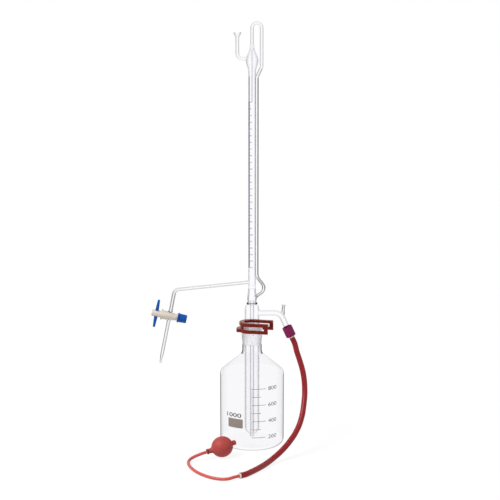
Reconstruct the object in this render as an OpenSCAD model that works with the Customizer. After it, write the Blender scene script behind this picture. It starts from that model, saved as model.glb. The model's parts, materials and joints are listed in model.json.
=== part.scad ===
// Automatic zero burette on a reservoir bottle, in millimetres.
// The origin is the centre of the bottle's base. +Z is up, +X is towards the air hose and -Y is the front.

/* [Reservoir bottle] */
// Outer diameter of the bottle
bottle_od = 104; // [90:1:120]
// Wall of the bottle
bottle_wall = 2.7; // [2:0.1:4]
// Thickness of the bottle's base
base_t = 4; // [3:0.5:7]
// Outer radius of the base's edge
base_edge_r = 10; // [6:0.5:14]
// Height of the straight wall
wall_h = 119; // [90:1:150]
// Outer radius of the shoulder
shoulder_r = 8; // [5:0.5:12]
// Slope of the shoulder's cone in degrees
shoulder_slope = 39; // [32:1:46]
// Radius of the fillet between shoulder and neck
neck_fillet_r = 10; // [6:0.5:14]
// Outer diameter of the neck at the lower end of the ground socket
neck_low_od = 31.4; // [30:0.2:33]
// Outer diameter of the neck below the rim
neck_od = 33.6; // [33:0.2:36]
// Plain neck below the ground socket
neck_lead = 9.3; // [5:0.1:15]
// Diameter of the rim bead
rim_od = 35; // [34.6:0.2:39]
// Height of the rim bead
rim_h = 5.3; // [4:0.1:8]
// Radius of the rim's upper edge
rim_edge_r = 1.2; // [0.5:0.1:2]

/* [Ground joint] */
// Large diameter of the ground joint
joint_d = 29.2; // [28:0.1:30]
// Ground length
joint_len = 32; // [28:1:36]
// Length over which the joint's diameter grows by 1
joint_taper = 10; // [9:0.5:12]
// Radial clearance between cone and socket
joint_gap = 0.05; // [0.02:0.01:0.1]

/* [Burette head] */
// Outer diameter of the head tube and of its jacket inside the bottle
jacket_od = 23.6; // [21:0.2:24.6]
// Wall of the jacket
jacket_wall = 1.4; // [1:0.1:2]
// Straight head tube above the joint
head_h = 24.7; // [20:0.1:40]
// Height of the head's domed top
head_dome_h = 9.5; // [6:0.5:14]
// Gap between the jacket's round end and the bottle's floor
jacket_floor_gap = 11; // [8:0.5:30]
// Diameter of the air hole in the jacket
air_hole_d = 5; // [3:0.5:7]
// Drop of the air hole below the ground zone
air_hole_drop = 17; // [8:1:40]
// Outer diameter of the dip tube
dip_od = 6.4; // [5:0.1:8]
// Wall of the dip tube
dip_wall = 1.1; // [0.8:0.1:1.6]
// Gap between the dip tube's end and the bottle's floor
dip_floor_gap = 6.8; // [4:0.2:10]
// Rise of the dip tube into the stem
dip_rise = 6; // [4:0.5:9]

/* [Stem] */
// Diameter of the ring seal
ring_od = 17.8; // [16:0.2:20]
// Height of the ring seal
ring_h = 2.4; // [2:0.2:5]
// Diameter of the waist above the ring seal
waist_od = 14.2; // [13:0.2:16]
// Largest diameter of the stem
stem_od = 15.2; // [14.4:0.2:17]
// Height of the stem
stem_h = 26.2; // [22:0.1:40]
// Height of the stem's largest diameter
stem_mid_h = 8; // [6:0.5:12]
// Wall of the stem
stem_wall = 1.3; // [1:0.1:1.8]

/* [Burette tube] */
// Outer diameter of the burette tube
tube_od = 12.4; // [11:0.1:14]
// Wall of the burette tube
tube_wall = 0.7; // [0.6:0.05:1.2]
// Height of the plain tube
tube_h = 346.1; // [200:0.1:600]
// Thickness of the tube's closed foot
foot_t = 2.5; // [1.5:0.1:4]
// Diameter of the overflow bulb
overflow_od = 20.4; // [17:0.2:22]
// Height of the cone below the overflow bulb
overflow_cone_h = 18; // [12:0.5:26]
// Height of the dome above the overflow bulb
overflow_dome_h = 22; // [16:0.5:30]
// Height of the overflow bulb's straight neck
overflow_neck_h = 4; // [3:0.5:8]
// Wall of the overflow bulb
overflow_wall = 1; // [0.8:0.05:1.4]
// Outer diameter of the zero tip
zero_od = 3; // [2.4:0.1:4]
// Bore of the zero tip
zero_bore = 1.3; // [1:0.1:1.6]
// Diameter of the zero tip's drawn end
zero_end_od = 2; // [1.8:0.1:2.2]
// Length of the zero tip
zero_len = 86.1; // [50:0.1:120]
// Length of the shoulder at the zero tip's root
zero_shoulder = 5; // [3:0.5:8]
// Length of the zero tip's drawn end
zero_drawn = 8; // [4:0.5:14]

/* [Supply tube] */
// Outer diameter of the supply tube
supply_od = 5.8; // [5:0.1:7]
// Bore of the supply tube
supply_bore = 3.8; // [2.5:0.1:4]
// Turn of the supply tube behind the burette in degrees
supply_turn = 37; // [0:1:60]
// Rise of the tube's first run in degrees
supply_climb = 24.5; // [15:0.5:45]
// Length of the first run from the stem's axis
supply_run = 20.7; // [19:0.1:26]
// Radius of the outward bend
outer_bend_r = 8.5; // [6:0.5:12]
// Turn of the outward bend in degrees
outer_bend_turn = 106; // [90:1:115]
// Radius of the bend back to upright
inner_bend_r = 17; // [8:0.5:22]
// Gap between supply tube and burette
supply_gap = 0.3; // [0.3:0.1:2]
// Turn of the top bend behind the burette in degrees
top_turn = 15; // [0:1:40]
// Distance between the two legs of the top bend
top_bend_w = 15.6; // [15:0.2:22]
// Height of the top bend's centre above the overflow bulb's neck
top_bend_h = 24.7; // [16:0.1:40]
// Radius of the two bends that step the tube outwards
step_bend_r = 8; // [6:0.5:12]
// Slant of that step in degrees
step_slant = 26; // [22:1:40]
// Start of the step below the overflow bulb's cone
step_drop = 10; // [4:0.5:20]
// Depth of the supply tube inside the overflow bulb's neck
supply_depth = 8; // [6:0.5:12]

/* [Vent cup] */
// Outer diameter of the vent tube
vent_od = 6; // [5:0.1:7]
// Bore of the vent tube
vent_bore = 4; // [3:0.1:4.4]
// Distance of the upright vent tube from the burette's axis
vent_reach = 23.2; // [19:0.2:30]
// Height of the vent's root above the overflow bulb's widest line
vent_rise = 2.8; // [1:0.1:5]
// Radius of the vent's elbow
vent_bend_r = 8; // [4.5:0.5:10]
// Height of the cup's rim above the vent's root
vent_h = 41; // [30:0.5:60]
// Diameter of the cup's rim
cup_od = 12.6; // [10:0.2:16]
// Height of the cup
cup_h = 9.7; // [7:0.1:14]
// Wall of the cup
cup_wall = 1; // [0.8:0.1:1.4]

/* [Delivery arm] */
// Outer diameter of the delivery arm
arm_od = 6.2; // [5:0.1:8]
// Bore of the delivery arm
arm_bore = 3.6; // [2:0.1:4]
// Height of the arm's root above the burette's foot
arm_rise = 10.4; // [8:0.1:14]
// Downward slope of the arm in degrees
arm_slope = 6; // [0:0.1:12]
// Reach of the arm to its corner
arm_reach = 125; // [110:0.1:180]
// Radius of the arm's bend
arm_bend_r = 9; // [7:0.5:14]
// Distance from the arm's corner to the stopcock's centre
arm_drop = 44; // [36:0.2:60]
// Outward tilt of the jet in degrees
jet_tilt = 11.5; // [0:0.5:20]

/* [Jet] */
// Outer diameter of the jet
jet_od = 5.6; // [5:0.1:7]
// Bore of the jet
jet_bore = 2.4; // [2:0.1:3]
// Diameter of the jet's flared root, taken on to the flow line
jet_root_od = 9.2; // [8:0.1:11]
// Distance from the flow line to the end of that flare
jet_root_len = 10.5; // [9:0.5:14]
// Length from the stopcock's centre to the jet's tip
jet_len = 79.6; // [50:0.2:120]
// Length of the drawn tip
jet_tip_len = 16; // [8:0.5:24]
// Outer diameter at the tip
jet_tip_od = 2.8; // [2.4:0.1:3.4]
// Bore at the tip
jet_tip_bore = 1.2; // [0.8:0.1:1.6]

/* [Stopcock] */
// Outer diameter of the barrel
barrel_od = 14.6; // [13.4:0.1:17]
// Diameter of the lip at the barrel's handle end
barrel_lip_od = 18; // [15:0.1:20]
// Width of that lip
barrel_lip_w = 3; // [2:0.2:5]
// Barrel length from the flow line to the handle end
barrel_left = 14; // [11:0.5:18]
// Barrel length from the flow line to the nut end
barrel_right = 12; // [10:0.5:13]
// Diameter of the key's plug at the flow line
plug_d = 9.2; // [8.6:0.1:9.6]
// Length over which the plug's diameter grows by 1
plug_taper = 5; // [5:0.5:10]
// Radial clearance between key and barrel
plug_gap = 0.04; // [0.02:0.01:0.1]
// Diameter of the flow hole through barrel and key
flow_d = 2.4; // [1.5:0.1:3]
// Diameter of the key's head
key_head_od = 10.6; // [9.4:0.1:12]
// Length of the key's head outside the barrel
key_head_len = 15.6; // [12:0.2:20]
// Chamfer of the key's head
key_edge = 1; // [0.4:0.1:2]
// Diameter of the key's threaded end
key_thread_d = 4.8; // [4:0.1:5]
// Length of the key's threaded end
key_thread_len = 13.6; // [12:0.2:20]
// Span of the handle
handle_span = 45.6; // [30:0.2:60]
// Width of the handle's wings at the root
wing_w = 6; // [5:0.1:8]
// Width of the wings at the tip
wing_tip_w = 3.6; // [2.5:0.1:5]
// Depth of the wings at the root
wing_depth = 6.4; // [5.4:0.2:10]
// Depth of the wings at the tip
wing_tip_depth = 5.2; // [4:0.2:9]
// Diameter of the handle's bar inside the key's head
handle_bar_d = 5; // [3:0.1:6]
// Distance of the handle from the key's outer end
handle_inset = 7.9; // [5:0.1:9]
// Thickness of the thrust washer
washer_t = 1; // [0.6:0.1:1.4]
// Diameter of the thrust washer
washer_od = 13.4; // [10.6:0.2:15]
// Thickness of the O-ring
o_ring_t = 1.8; // [1.2:0.1:2]
// Length of the tension nut
nut_len = 15; // [9:0.2:17]
// Diameter of the tension nut's flange
nut_flange_od = 16; // [14:0.2:20]
// Width of that flange
nut_flange_w = 2.6; // [1.5:0.1:4]
// Diameter of the nut behind the flange
nut_od = 14.4; // [12:0.2:15]
// Diameter of the nut's outer end
nut_end_od = 13; // [10:0.2:14]
// Radial clearance of the nut and washer on the key
thread_gap = 0.05; // [0.02:0.01:0.1]
// Axial play between stacked pieces
face_gap = 0.1; // [0.05:0.05:0.3]

/* [Side arm] */
// Outer diameter of the side arm
side_od = 10; // [7:0.1:11]
// Bore of the side arm
side_bore = 7.4; // [4:0.1:8]
// Height of the side arm above the joint
side_rise = 19.6; // [13:0.2:22]
// Reach of the side arm to its corner
side_reach = 45.7; // [40:0.1:60]
// Radius of the side arm's bend
side_bend_r = 15; // [6:0.5:18]
// Tilt of the side arm's end from upright in degrees
side_tilt = 25.2; // [10:0.2:40]
// Distance from the corner to the screw cap
side_drop = 25.1; // [16:0.1:30]
// Diameter of the threaded end
thread_d = 13.9; // [12:0.1:14]
// Length of the threaded end
thread_len = 6.5; // [5:0.1:8]
// Length of the flare between tube and thread
flare_len = 3; // [2:0.2:5]
// Outer diameter of the vent spigot
spigot_od = 5; // [4:0.1:6]
// Bore of the vent spigot
spigot_bore = 2.6; // [2:0.1:3]
// Distance of the vent spigot from the burette's axis
spigot_reach = 50; // [46:0.1:52]
// Tilt of the vent spigot in degrees
spigot_tilt = 6.7; // [0:0.1:15]
// Height of the vent spigot above the side arm's axis
spigot_h = 13.4; // [9:0.1:20]
// Diameter of the spigot's flared lip
spigot_lip_od = 7.2; // [5.4:0.1:8]
// Height of that lip
spigot_lip_h = 2; // [1:0.1:4]

/* [Hose connection] */
// Outer diameter of the screw cap
cap_od = 16.5; // [15.6:0.1:20]
// Thickness of the cap's end
cap_end_t = 2.6; // [2:0.1:4]
// Radial clearance of the cap on its thread and bush
cap_gap = 0.05; // [0.02:0.01:0.1]
// Start of the thread inside the cap's mouth
cap_mouth = 3.4; // [2:0.1:6]
// Thickness of the gasket
gasket_t = 1.8; // [1:0.1:3]
// Diameter of gasket, nipple flange and bush flange
flange_od = 12.6; // [11:0.1:12.8]
// Thickness of the nipple's flange
nipple_flange_t = 1.8; // [1.2:0.1:3]
// Thickness of the bush's flange
bush_flange_t = 1.2; // [0.8:0.1:2]
// Diameter of the bush outside the cap
bush_od = 11.8; // [9:0.1:12]
// Length of the bush that shows below the cap
bush_show = 1.4; // [0.8:0.1:3]
// Way that the cap and bush can back off
cap_travel = 1.25; // [0.5:0.05:2]
// Diameter of the nipple's neck
nipple_od = 6.4; // [5:0.1:7]
// Diameter of the nipple's tail inside the hose
nipple_tail_od = 5.4; // [4:0.1:6]
// Length of that tail
nipple_tail_len = 16; // [8:0.5:24]
// Bore of the nipple
nipple_bore = 3; // [2:0.1:3.4]

/* [Joint clip] */
// Height of the clip's upper plate
clip_top_t = 5; // [3:0.1:8]
// Height of the clip's lower plate
clip_low_t = 5.4; // [3:0.1:8]
// Thickness of the clip's wall and columns
clip_wall = 1.5; // [1.2:0.1:3]
// Ledge of the upper plate beyond the wall
clip_top_ledge = 1.6; // [0.5:0.1:4]
// Ledge of the lower plate beyond the wall at the closed side
clip_low_ledge = 6.3; // [1:0.1:9]
// Half of the width of that ledge
clip_tab_half = 13; // [8:0.5:17]
// Reach of the clip's arms from the joint's axis
clip_reach = 31; // [26:0.5:40]
// Length of the columns at the arms' ends
clip_column = 6.5; // [4:0.5:10]
// Half of the angle that the clip's closed wall covers
clip_wall_half = 52; // [30:1:70]
// Turn of the clip's opening towards the front in degrees
clip_turn = 15; // [0:1:45]
// Clearance between clip and glass
clip_gap = 0.25; // [0.2:0.05:0.5]

/* [Hoses and squeeze bulb] */
// Outer diameter of the pressure hose
hose_od = 9; // [7:0.1:11]
// Outer diameter of the bulb hose
bulb_hose_od = 4.8; // [4:0.1:6]
// Diameter of the reducer's collar
reducer_od = 7.6; // [6:0.1:9]
// Length of the reducer's collar
reducer_len = 2; // [1:0.1:5]
// Diameter of the reducer's tail inside the pressure hose
reducer_tail_od = 4.6; // [3:0.1:6]
// Diameter of the tails inside the bulb hose
small_tail_od = 2.8; // [2:0.1:3.6]
// Length of the tails inside the hoses
tail_len = 8; // [5:0.5:12]
// Bore of the reducer and of the valves
air_bore = 1.4; // [0.8:0.1:1.6]
// Diameter of the squeeze bulb
squeeze_od = 33; // [28:0.5:40]
// Length of the squeeze bulb
squeeze_len = 35; // [30:0.5:44]
// Wall of the squeeze bulb
squeeze_wall = 2.5; // [1.5:0.1:4]
// Diameter of the squeeze bulb's neck
squeeze_neck_od = 8.6; // [7.6:0.1:11]
// Length of that neck beyond the round body
squeeze_neck_len = 3; // [2:0.2:6]
// Yaw of the squeeze bulb's axis in degrees
squeeze_yaw = 25.7; // [0:0.1:50]
// Tilt of the squeeze bulb's axis in degrees
squeeze_tilt = 10.4; // [4:0.1:14]
// Diameter of the outlet valve's collar
outlet_od = 9; // [7.6:0.1:11]
// Diameter of the intake valve's nub
intake_od = 8; // [7:0.1:10]
// Diameter of the stubs inside the squeeze bulb
stub_od = 5.6; // [3:0.1:6]
// Length of the stubs inside the squeeze bulb
stub_len = 4; // [2:0.1:6]
// Clearance between the squeeze bulb and the intake valve
soft_gap = 0.15; // [0.1:0.05:0.4]
// Diameter of the valve balls
ball_d = 3; // [2.4:0.1:4]
// Travel of the valve balls
ball_travel = 1.2; // [0.6:0.1:1.6]
// Clearance of a valve ball in its cage
ball_gap = 0.2; // [0.15:0.05:0.4]
// Wall at each end of a valve's cage
cage_end_t = 0.8; // [0.6:0.1:1.4]

/* [Hidden] */
$fn = 64;

// Overshoot of a cut past the face that it opens
cut = 1;

// Lap that ties one step of a bent tube to the next
lap = 0.05;

// Steps along a quarter of a drawn curve
curve_steps = 8;

// Heights of the bottle, worked out from its shoulder up
bottle_r = bottle_od / 2;
neck_low_r = neck_low_od / 2;
shoulder_end_r = bottle_r - shoulder_r + shoulder_r * sin(shoulder_slope);
shoulder_end_z = wall_h + shoulder_r * cos(shoulder_slope);
fillet_end_r = neck_low_r + neck_fillet_r - neck_fillet_r * sin(shoulder_slope);
fillet_z = shoulder_end_z + (shoulder_end_r - fillet_end_r) * tan(shoulder_slope)
    + neck_fillet_r * cos(shoulder_slope);
joint_low_z = fillet_z + neck_lead;
joint_top_z = joint_low_z + joint_len;
joint_r = joint_d / 2;
joint_low_r = joint_r - joint_len / joint_taper / 2;
neck_r = neck_od / 2;
rim_r = rim_od / 2;
rim_z = joint_top_z - rim_h;

// Heights of the burette above the joint
jacket_r = jacket_od / 2;
jacket_in_r = jacket_r - jacket_wall;
jacket_z = base_t + jacket_floor_gap;
ring_r = ring_od / 2;
cone_shoulder_h = joint_r - joint_gap - jacket_r;
head_top_z = joint_top_z + head_h + head_dome_h;
foot_z = head_top_z + stem_h;
overflow_z = foot_z + tube_h + overflow_cone_h;
overflow_top_z = overflow_z + overflow_dome_h + overflow_neck_h;
supply_end_z = overflow_top_z - supply_depth;
tube_r = tube_od / 2;
tube_in_r = tube_r - tube_wall;
overflow_r = overflow_od / 2;
supply_r = supply_od / 2;

// Places on the supply tube, in its own upright plane up to the step
upright_u = tube_r + supply_gap + supply_r;
supply_z = head_top_z + stem_mid_h;
lean_back = supply_climb + outer_bend_turn;
bend_u = supply_run * cos(supply_climb) + outer_bend_r * (sin(lean_back) - sin(supply_climb));
bend_z = supply_z + supply_run * sin(supply_climb) + outer_bend_r * (cos(supply_climb) - cos(lean_back));
lean_run = (bend_u - inner_bend_r * (1 - sin(lean_back)) - upright_u) / -cos(lean_back);
upright_z = bend_z + lean_run * sin(lean_back) - inner_bend_r * cos(lean_back);
step_z = foot_z + tube_h - step_drop;
step_way = top_bend_w * [cos(top_turn), sin(top_turn)] - upright_u * [cos(supply_turn), sin(supply_turn)];
step_plane = atan2(step_way[1], step_way[0]) - supply_turn;
step_run = (norm(step_way) - 2 * step_bend_r * (1 - cos(step_slant))) / sin(step_slant);
step_end_z = step_z + 2 * step_bend_r * sin(step_slant) + step_run * cos(step_slant);
top_bend_z = overflow_top_z + top_bend_h;

// Places of the stopcock
arm_z = foot_z + arm_rise;
corner_x = -arm_reach;
corner_z = arm_z - arm_reach * tan(arm_slope);
stopcock_x = corner_x - arm_drop * sin(jet_tilt);
stopcock_z = corner_z - arm_drop * cos(jet_tilt);
arm_turn = 90 - arm_slope - jet_tilt;
arm_corner_cut = arm_bend_r * tan(arm_turn / 2);
washer_s = barrel_right + face_gap;
nut_s = washer_s + washer_t + face_gap;
o_ring_r = key_thread_d / 2 + thread_gap + o_ring_t / 2;
handle_s = handle_inset - barrel_left - key_head_len;

// Places along the side arm's end, measured from its corner
side_z = joint_top_z + side_rise;
side_turn = 90 - side_tilt;
side_corner_cut = side_bend_r * tan(side_turn / 2);
thread_t = side_drop + cap_mouth;
flare_t = thread_t - flare_len;
glass_end_t = thread_t + thread_len;
nipple_flange_end_t = glass_end_t + gasket_t + nipple_flange_t;
bush_t = nipple_flange_end_t + face_gap;
cap_lip_t = bush_t + bush_flange_t + face_gap;
cap_end_face_t = cap_lip_t + cap_end_t;
bush_end_t = cap_end_face_t + bush_show;
hose_start_t = bush_end_t + cap_travel + face_gap;

// Sizes of the clip
clip_low_z = rim_z - clip_gap - clip_low_t;
clip_top_z = joint_top_z + clip_gap + clip_top_t;
clip_low_half = neck_r + clip_gap;
clip_rim_half = rim_r + clip_gap;
clip_top_half = jacket_r + clip_gap;
clip_out = clip_rim_half + clip_wall;
clip_seat_half = joint_r + clip_gap;
clip_seat_h = clip_seat_half - clip_top_half;

// Places of the squeeze bulb, which rests on the bench
squeeze_b = squeeze_od / 2;
squeeze_a = squeeze_len / 2;
squeeze_x = -47.5;
squeeze_y = -75;
squeeze_pos = [squeeze_x, squeeze_y, norm([squeeze_a * sin(squeeze_tilt), squeeze_b * cos(squeeze_tilt)])];
squeeze_dir = [cos(squeeze_tilt) * cos(squeeze_yaw), cos(squeeze_tilt) * sin(squeeze_yaw), sin(squeeze_tilt)];
cage_len = ball_d + ball_travel + 2 * ball_gap;
cage_r = ball_d / 2 + ball_gap;
outlet_z = -squeeze_a - squeeze_neck_len;
valve_len = cage_len + 2 * cage_end_t;
intake_z = squeeze_a;

// Routes of the hoses between their fittings
side_dir = [sin(side_tilt), 0, -cos(side_tilt)];
hose_start = [side_reach, 0, side_z] + hose_start_t * side_dir;
hose_end_x = -18;
hose_end_y = -180;
hose_end = [hose_end_x, hose_end_y, hose_od / 2];
hose_end_yaw = 217;
hose_end_dir = [cos(hose_end_yaw), sin(hose_end_yaw), 0];
bulb_hose_start = hose_end + reducer_len * hose_end_dir;
bulb_hose_end = squeeze_pos + (outlet_z - valve_len) * squeeze_dir;
hose_lead = 10;
hose_sides = 12;
bulb_hose_sides = 10;
PRESSURE_ROUTE = concat([hose_start, hose_start + hose_lead * side_dir],
    [[73, -3, 154], [78, -6, 139], [83, -11, 121], [85.5, -19, 97], [83.5, -33, 73], [78.5, -49, 53],
    [70.5, -63, 38], [60.5, -76, 26.5], [47.5, -90, 15.5], [33.5, -106, 7.9], [20.5, -127, 4.9],
    [10, -145, 4.5], [-1, -162, 4.5]], [hose_end - hose_lead * hose_end_dir, hose_end]);
BULB_ROUTE = concat([bulb_hose_start, bulb_hose_start + hose_lead * hose_end_dir],
    [[-35, -190, 3.2], [-43.5, -190.3, 2.5], [-57, -186, 2.5], [-66, -179.5, 2.5], [-74, -171.5, 2.5],
    [-81.3, -162.3, 2.5], [-87.5, -152, 2.5], [-92.8, -140.5, 2.5], [-97, -128, 2.5], [-99.5, -112, 2.6],
    [-97, -99.5, 4], [-90, -93.5, 6.5]],
    [bulb_hose_end - hose_lead * squeeze_dir, bulb_hose_end]);

// Points of an arc in a profile
function arc(x, y, r, from, to) = [for (i = [0:curve_steps]) let (a = from + (to - from) * i / curve_steps)
    [x + r * cos(a), y + r * sin(a)]];

// Points of a smooth change of radius between two heights
function sweep_in(r0, z0, r1, z1) = [for (i = [0:curve_steps]) let (t = i / curve_steps)
    [r0 + (r1 - r0) * (1 - cos(180 * t)) / 2, z0 + (z1 - z0) * t]];

// Points of a quarter of an ellipse, from its side up to its top
function dome(r_in, r_out, z, h) = [for (i = [0:curve_steps]) let (a = 90 * i / curve_steps)
    [r_in + (r_out - r_in) * cos(a), z + h * sin(a)]];

function unit(v) = v / norm(v);
function along(p, i) = unit(p[min(i + 1, len(p) - 1)] - p[max(i - 1, 0)]);
function across(p, i) = i == 0 ? unit(cross(along(p, 0), [0, 1, 0]))
    : let (n = across(p, i - 1), t = along(p, i)) unit(n - (n * t) * t);

// A solid cord of n sides along the points p
module cord(p, d, n) {
    last = (len(p) - 1) * n;
    rings = [for (i = [0:len(p) - 1]) let (t = along(p, i), u = across(p, i), v = cross(t, u))
        for (k = [0:n - 1]) p[i] + d / 2 * (cos(360 * k / n) * u + sin(360 * k / n) * v)];
    sides = [for (i = [0:len(p) - 2], k = [0:n - 1], half = [0, 1])
        let (j = (k + 1) % n, a = i * n, b = a + n)
        half == 0 ? [a + k, b + k, b + j] : [a + k, b + j, a + j]];
    ends = [for (k = [1:n - 2], end = [0, 1]) end == 0 ? [0, k, k + 1] : [last, last + k + 1, last + k]];
    polyhedron(rings, concat(sides, ends), convexity = 6);
}

// A solid run of tube from the local origin along +Z. A step is [length], or [radius, turn towards +X] with
// the angle between +X and the bend's plane where there is one.
module run(steps, d, i = 0) {
    if (i < len(steps)) {
        step = steps[i];
        if (len(step) == 1) {
            low = i == 0 ? 0 : lap;
            high = i == len(steps) - 1 ? step[0] : step[0] - lap;
            translate([0, 0, low]) cylinder(h = high - low, d = d);
            if (low > 0) translate([0, 0, -lap]) cylinder(h = 3 * lap, d = d + lap);
            if (high < step[0]) translate([0, 0, high - lap]) cylinder(h = 3 * lap, d = d + lap);
            translate([0, 0, step[0]]) run(steps, d, i + 1);
        } else {
            turn = abs(step[1]);
            side = (step[1] < 0 ? 180 : 0) + (len(step) > 2 ? step[2] : 0);
            rotate([0, 0, side]) {
                translate([step[0], 0, 0]) rotate([90, 0, 0]) rotate([0, 0, 180 - turn])
                    rotate_extrude(angle = turn) translate([step[0], 0]) circle(d = d);
                translate([step[0] * (1 - cos(turn)), 0, step[0] * sin(turn)]) rotate([0, turn, 0])
                    rotate([0, 0, -side]) run(steps, d, i + 1);
            }
        }
    }
}

// Places that several pieces share
module at_supply() rotate([0, 0, supply_turn]) translate([0, 0, supply_z])
    rotate([0, 90 - supply_climb, 0]) children();
module at_vent() translate([0, 0, overflow_z + vent_rise]) rotate([0, -90, 0]) children();
module at_arm() translate([0, 0, arm_z]) rotate([0, -90 - arm_slope, 0]) children();
module at_stopcock() translate([stopcock_x, 0, stopcock_z]) rotate([0, jet_tilt, 0]) children();
module at_key() at_stopcock() rotate([0, 90, 0]) children();
module at_side() translate([0, 0, side_z]) rotate([0, 90, 0]) children();
module at_side_end() translate([side_reach, 0, side_z]) rotate([0, 90 + side_turn, 0]) children();
module at_spigot() translate([spigot_reach, 0, side_z]) rotate([0, spigot_tilt, 0]) children();
module at_squeeze() translate(squeeze_pos) rotate([0, 90 - squeeze_tilt, squeeze_yaw]) children();
module at_reducer() translate(hose_end) rotate([0, 90, hose_end_yaw]) children();

// Radius of the key's bore in the barrel, at a distance from the flow line
function plug_r(s) = plug_d / 2 - s / plug_taper / 2;

// The bottle, with a tapered ground socket in its neck
module reservoir_bottle() color("lightcyan", 0.4) rotate_extrude() polygon(concat(
    [[0, 0]],
    arc(bottle_r - base_edge_r, base_edge_r, base_edge_r, -90, 0),
    arc(bottle_r - shoulder_r, wall_h, shoulder_r, 0, 90 - shoulder_slope),
    arc(neck_low_r + neck_fillet_r, fillet_z, neck_fillet_r, 270 - shoulder_slope, 180),
    [[neck_low_r, joint_low_z], [neck_r, (joint_low_z + rim_z) / 2], [neck_r, rim_z], [rim_r, rim_z]],
    arc(rim_r - rim_edge_r, joint_top_z - rim_edge_r, rim_edge_r, 0, 90),
    [[joint_r, joint_top_z], [joint_low_r, joint_low_z]],
    arc(neck_low_r + neck_fillet_r, fillet_z, neck_low_r + neck_fillet_r - joint_low_r, 180,
        270 - shoulder_slope),
    arc(bottle_r - shoulder_r, wall_h, shoulder_r - bottle_wall, 90 - shoulder_slope, 0),
    arc(bottle_r - base_edge_r, base_t + base_edge_r - bottle_wall, base_edge_r - bottle_wall, 0, -90),
    [[0, base_t]]));

// The head: ground cone, head tube above it and jacket below it, in one wall
module head_jacket() color("lightcyan", 0.4) difference() {
    rotate_extrude() polygon(concat(
        arc(0, jacket_z + jacket_r, jacket_r, -90, 0),
        [[jacket_r, joint_low_z - (joint_low_r - joint_gap - jacket_r)],
        [joint_low_r - joint_gap, joint_low_z], [joint_r - joint_gap, joint_top_z],
        [jacket_r, joint_top_z + cone_shoulder_h]],
        dome(ring_r, jacket_r, joint_top_z + head_h, head_dome_h),
        [[0, head_top_z]]));
    rotate_extrude() polygon(concat(
        arc(0, jacket_z + jacket_r, jacket_in_r, -90, 0),
        dome(ring_r - jacket_wall, jacket_in_r, joint_top_z + head_h, head_dome_h - jacket_wall),
        [[0, head_top_z - jacket_wall]]));
    cylinder(h = head_top_z + cut, d = dip_od);
    at_side() cylinder(h = jacket_r + cut, d = side_od);
    translate([0, 0, joint_low_z - air_hole_drop]) rotate([0, 90, 0])
        cylinder(h = jacket_r + cut, d = air_hole_d);
}

module dip_tube() color("lightcyan", 0.4) translate([0, 0, base_t + dip_floor_gap]) difference() {
    dip_len = head_top_z + dip_rise - base_t - dip_floor_gap;
    cylinder(h = dip_len, d = dip_od);
    translate([0, 0, -cut]) cylinder(h = dip_len + 2 * cut, d = dip_od - 2 * dip_wall);
}

// The stem's outside, which the supply tube meets
module stem_form() rotate_extrude() polygon(concat(
    [[0, head_top_z]],
    arc(ring_r - ring_h / 2, head_top_z + ring_h / 2, ring_h / 2, -90, 90),
    sweep_in(waist_od / 2, head_top_z + ring_h, stem_od / 2, head_top_z + stem_mid_h),
    sweep_in(stem_od / 2, head_top_z + stem_mid_h, tube_r, foot_z),
    [[0, foot_z]]));

module stem() color("lightcyan", 0.4) difference() {
    stem_form();
    rotate_extrude() polygon(concat(
        [[0, head_top_z - cut], [waist_od / 2 - stem_wall, head_top_z - cut]],
        sweep_in(waist_od / 2 - stem_wall, head_top_z + ring_h, stem_od / 2 - stem_wall,
            head_top_z + stem_mid_h),
        sweep_in(stem_od / 2 - stem_wall, head_top_z + stem_mid_h, tube_r - stem_wall, foot_z),
        [[tube_r - stem_wall, foot_z + cut], [0, foot_z + cut]]));
    at_supply() cylinder(h = supply_run, d = supply_bore);
}

// The space inside the burette tube and its overflow bulb
module tube_space() rotate_extrude() polygon(concat(
    arc(0, foot_z + foot_t + tube_in_r, tube_in_r, -90, 0),
    sweep_in(tube_in_r, foot_z + tube_h, overflow_r - overflow_wall, overflow_z),
    sweep_in(overflow_r - overflow_wall, overflow_z, supply_r, overflow_z + overflow_dome_h),
    [[supply_r, overflow_top_z + cut], [0, overflow_top_z + cut]]));

module burette_tube() color("lightcyan", 0.4) difference() {
    rotate_extrude() polygon(concat(
        [[0, foot_z], [tube_r, foot_z]],
        sweep_in(tube_r, foot_z + tube_h, overflow_r, overflow_z),
        sweep_in(overflow_r, overflow_z, supply_r + overflow_wall, overflow_z + overflow_dome_h),
        [[supply_r + overflow_wall, overflow_top_z], [0, overflow_top_z]]));
    tube_space();
    at_vent() cylinder(h = overflow_r + cut, d = vent_od);
    at_arm() cylinder(h = tube_r + arm_od, d = arm_od);
}

// The tip ends at the zero mark, to which it siphons the burette back
module zero_tip() color("lightcyan", 0.4) translate([0, 0, supply_end_z]) rotate_extrude() polygon([
    [zero_bore / 2, 0], [supply_r, 0], [supply_r, -zero_shoulder / 4], [zero_od / 2, -zero_shoulder],
    [zero_od / 2, zero_drawn - zero_len], [zero_end_od / 2, -zero_len], [zero_bore / 2, -zero_len]]);

module supply_run_form(d, extra) at_supply() run([
    [supply_run], [outer_bend_r, -outer_bend_turn], [lean_run], [inner_bend_r, lean_back - 90],
    [step_z - upright_z], [step_bend_r, step_slant, step_plane], [step_run],
    [step_bend_r, -step_slant, step_plane], [top_bend_z - step_end_z],
    [top_bend_w / 2, -180, top_turn - supply_turn], [top_bend_z - supply_end_z + extra]], d);

module supply_tube() color("lightcyan", 0.4) difference() {
    supply_run_form(supply_od, 0);
    supply_run_form(supply_bore, cut);
    stem_form();
}

module vent_run(d, extra) at_vent() run([
    [vent_reach - vent_bend_r], [vent_bend_r, 90], [vent_h - vent_bend_r - cup_h + extra]], d);

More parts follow.
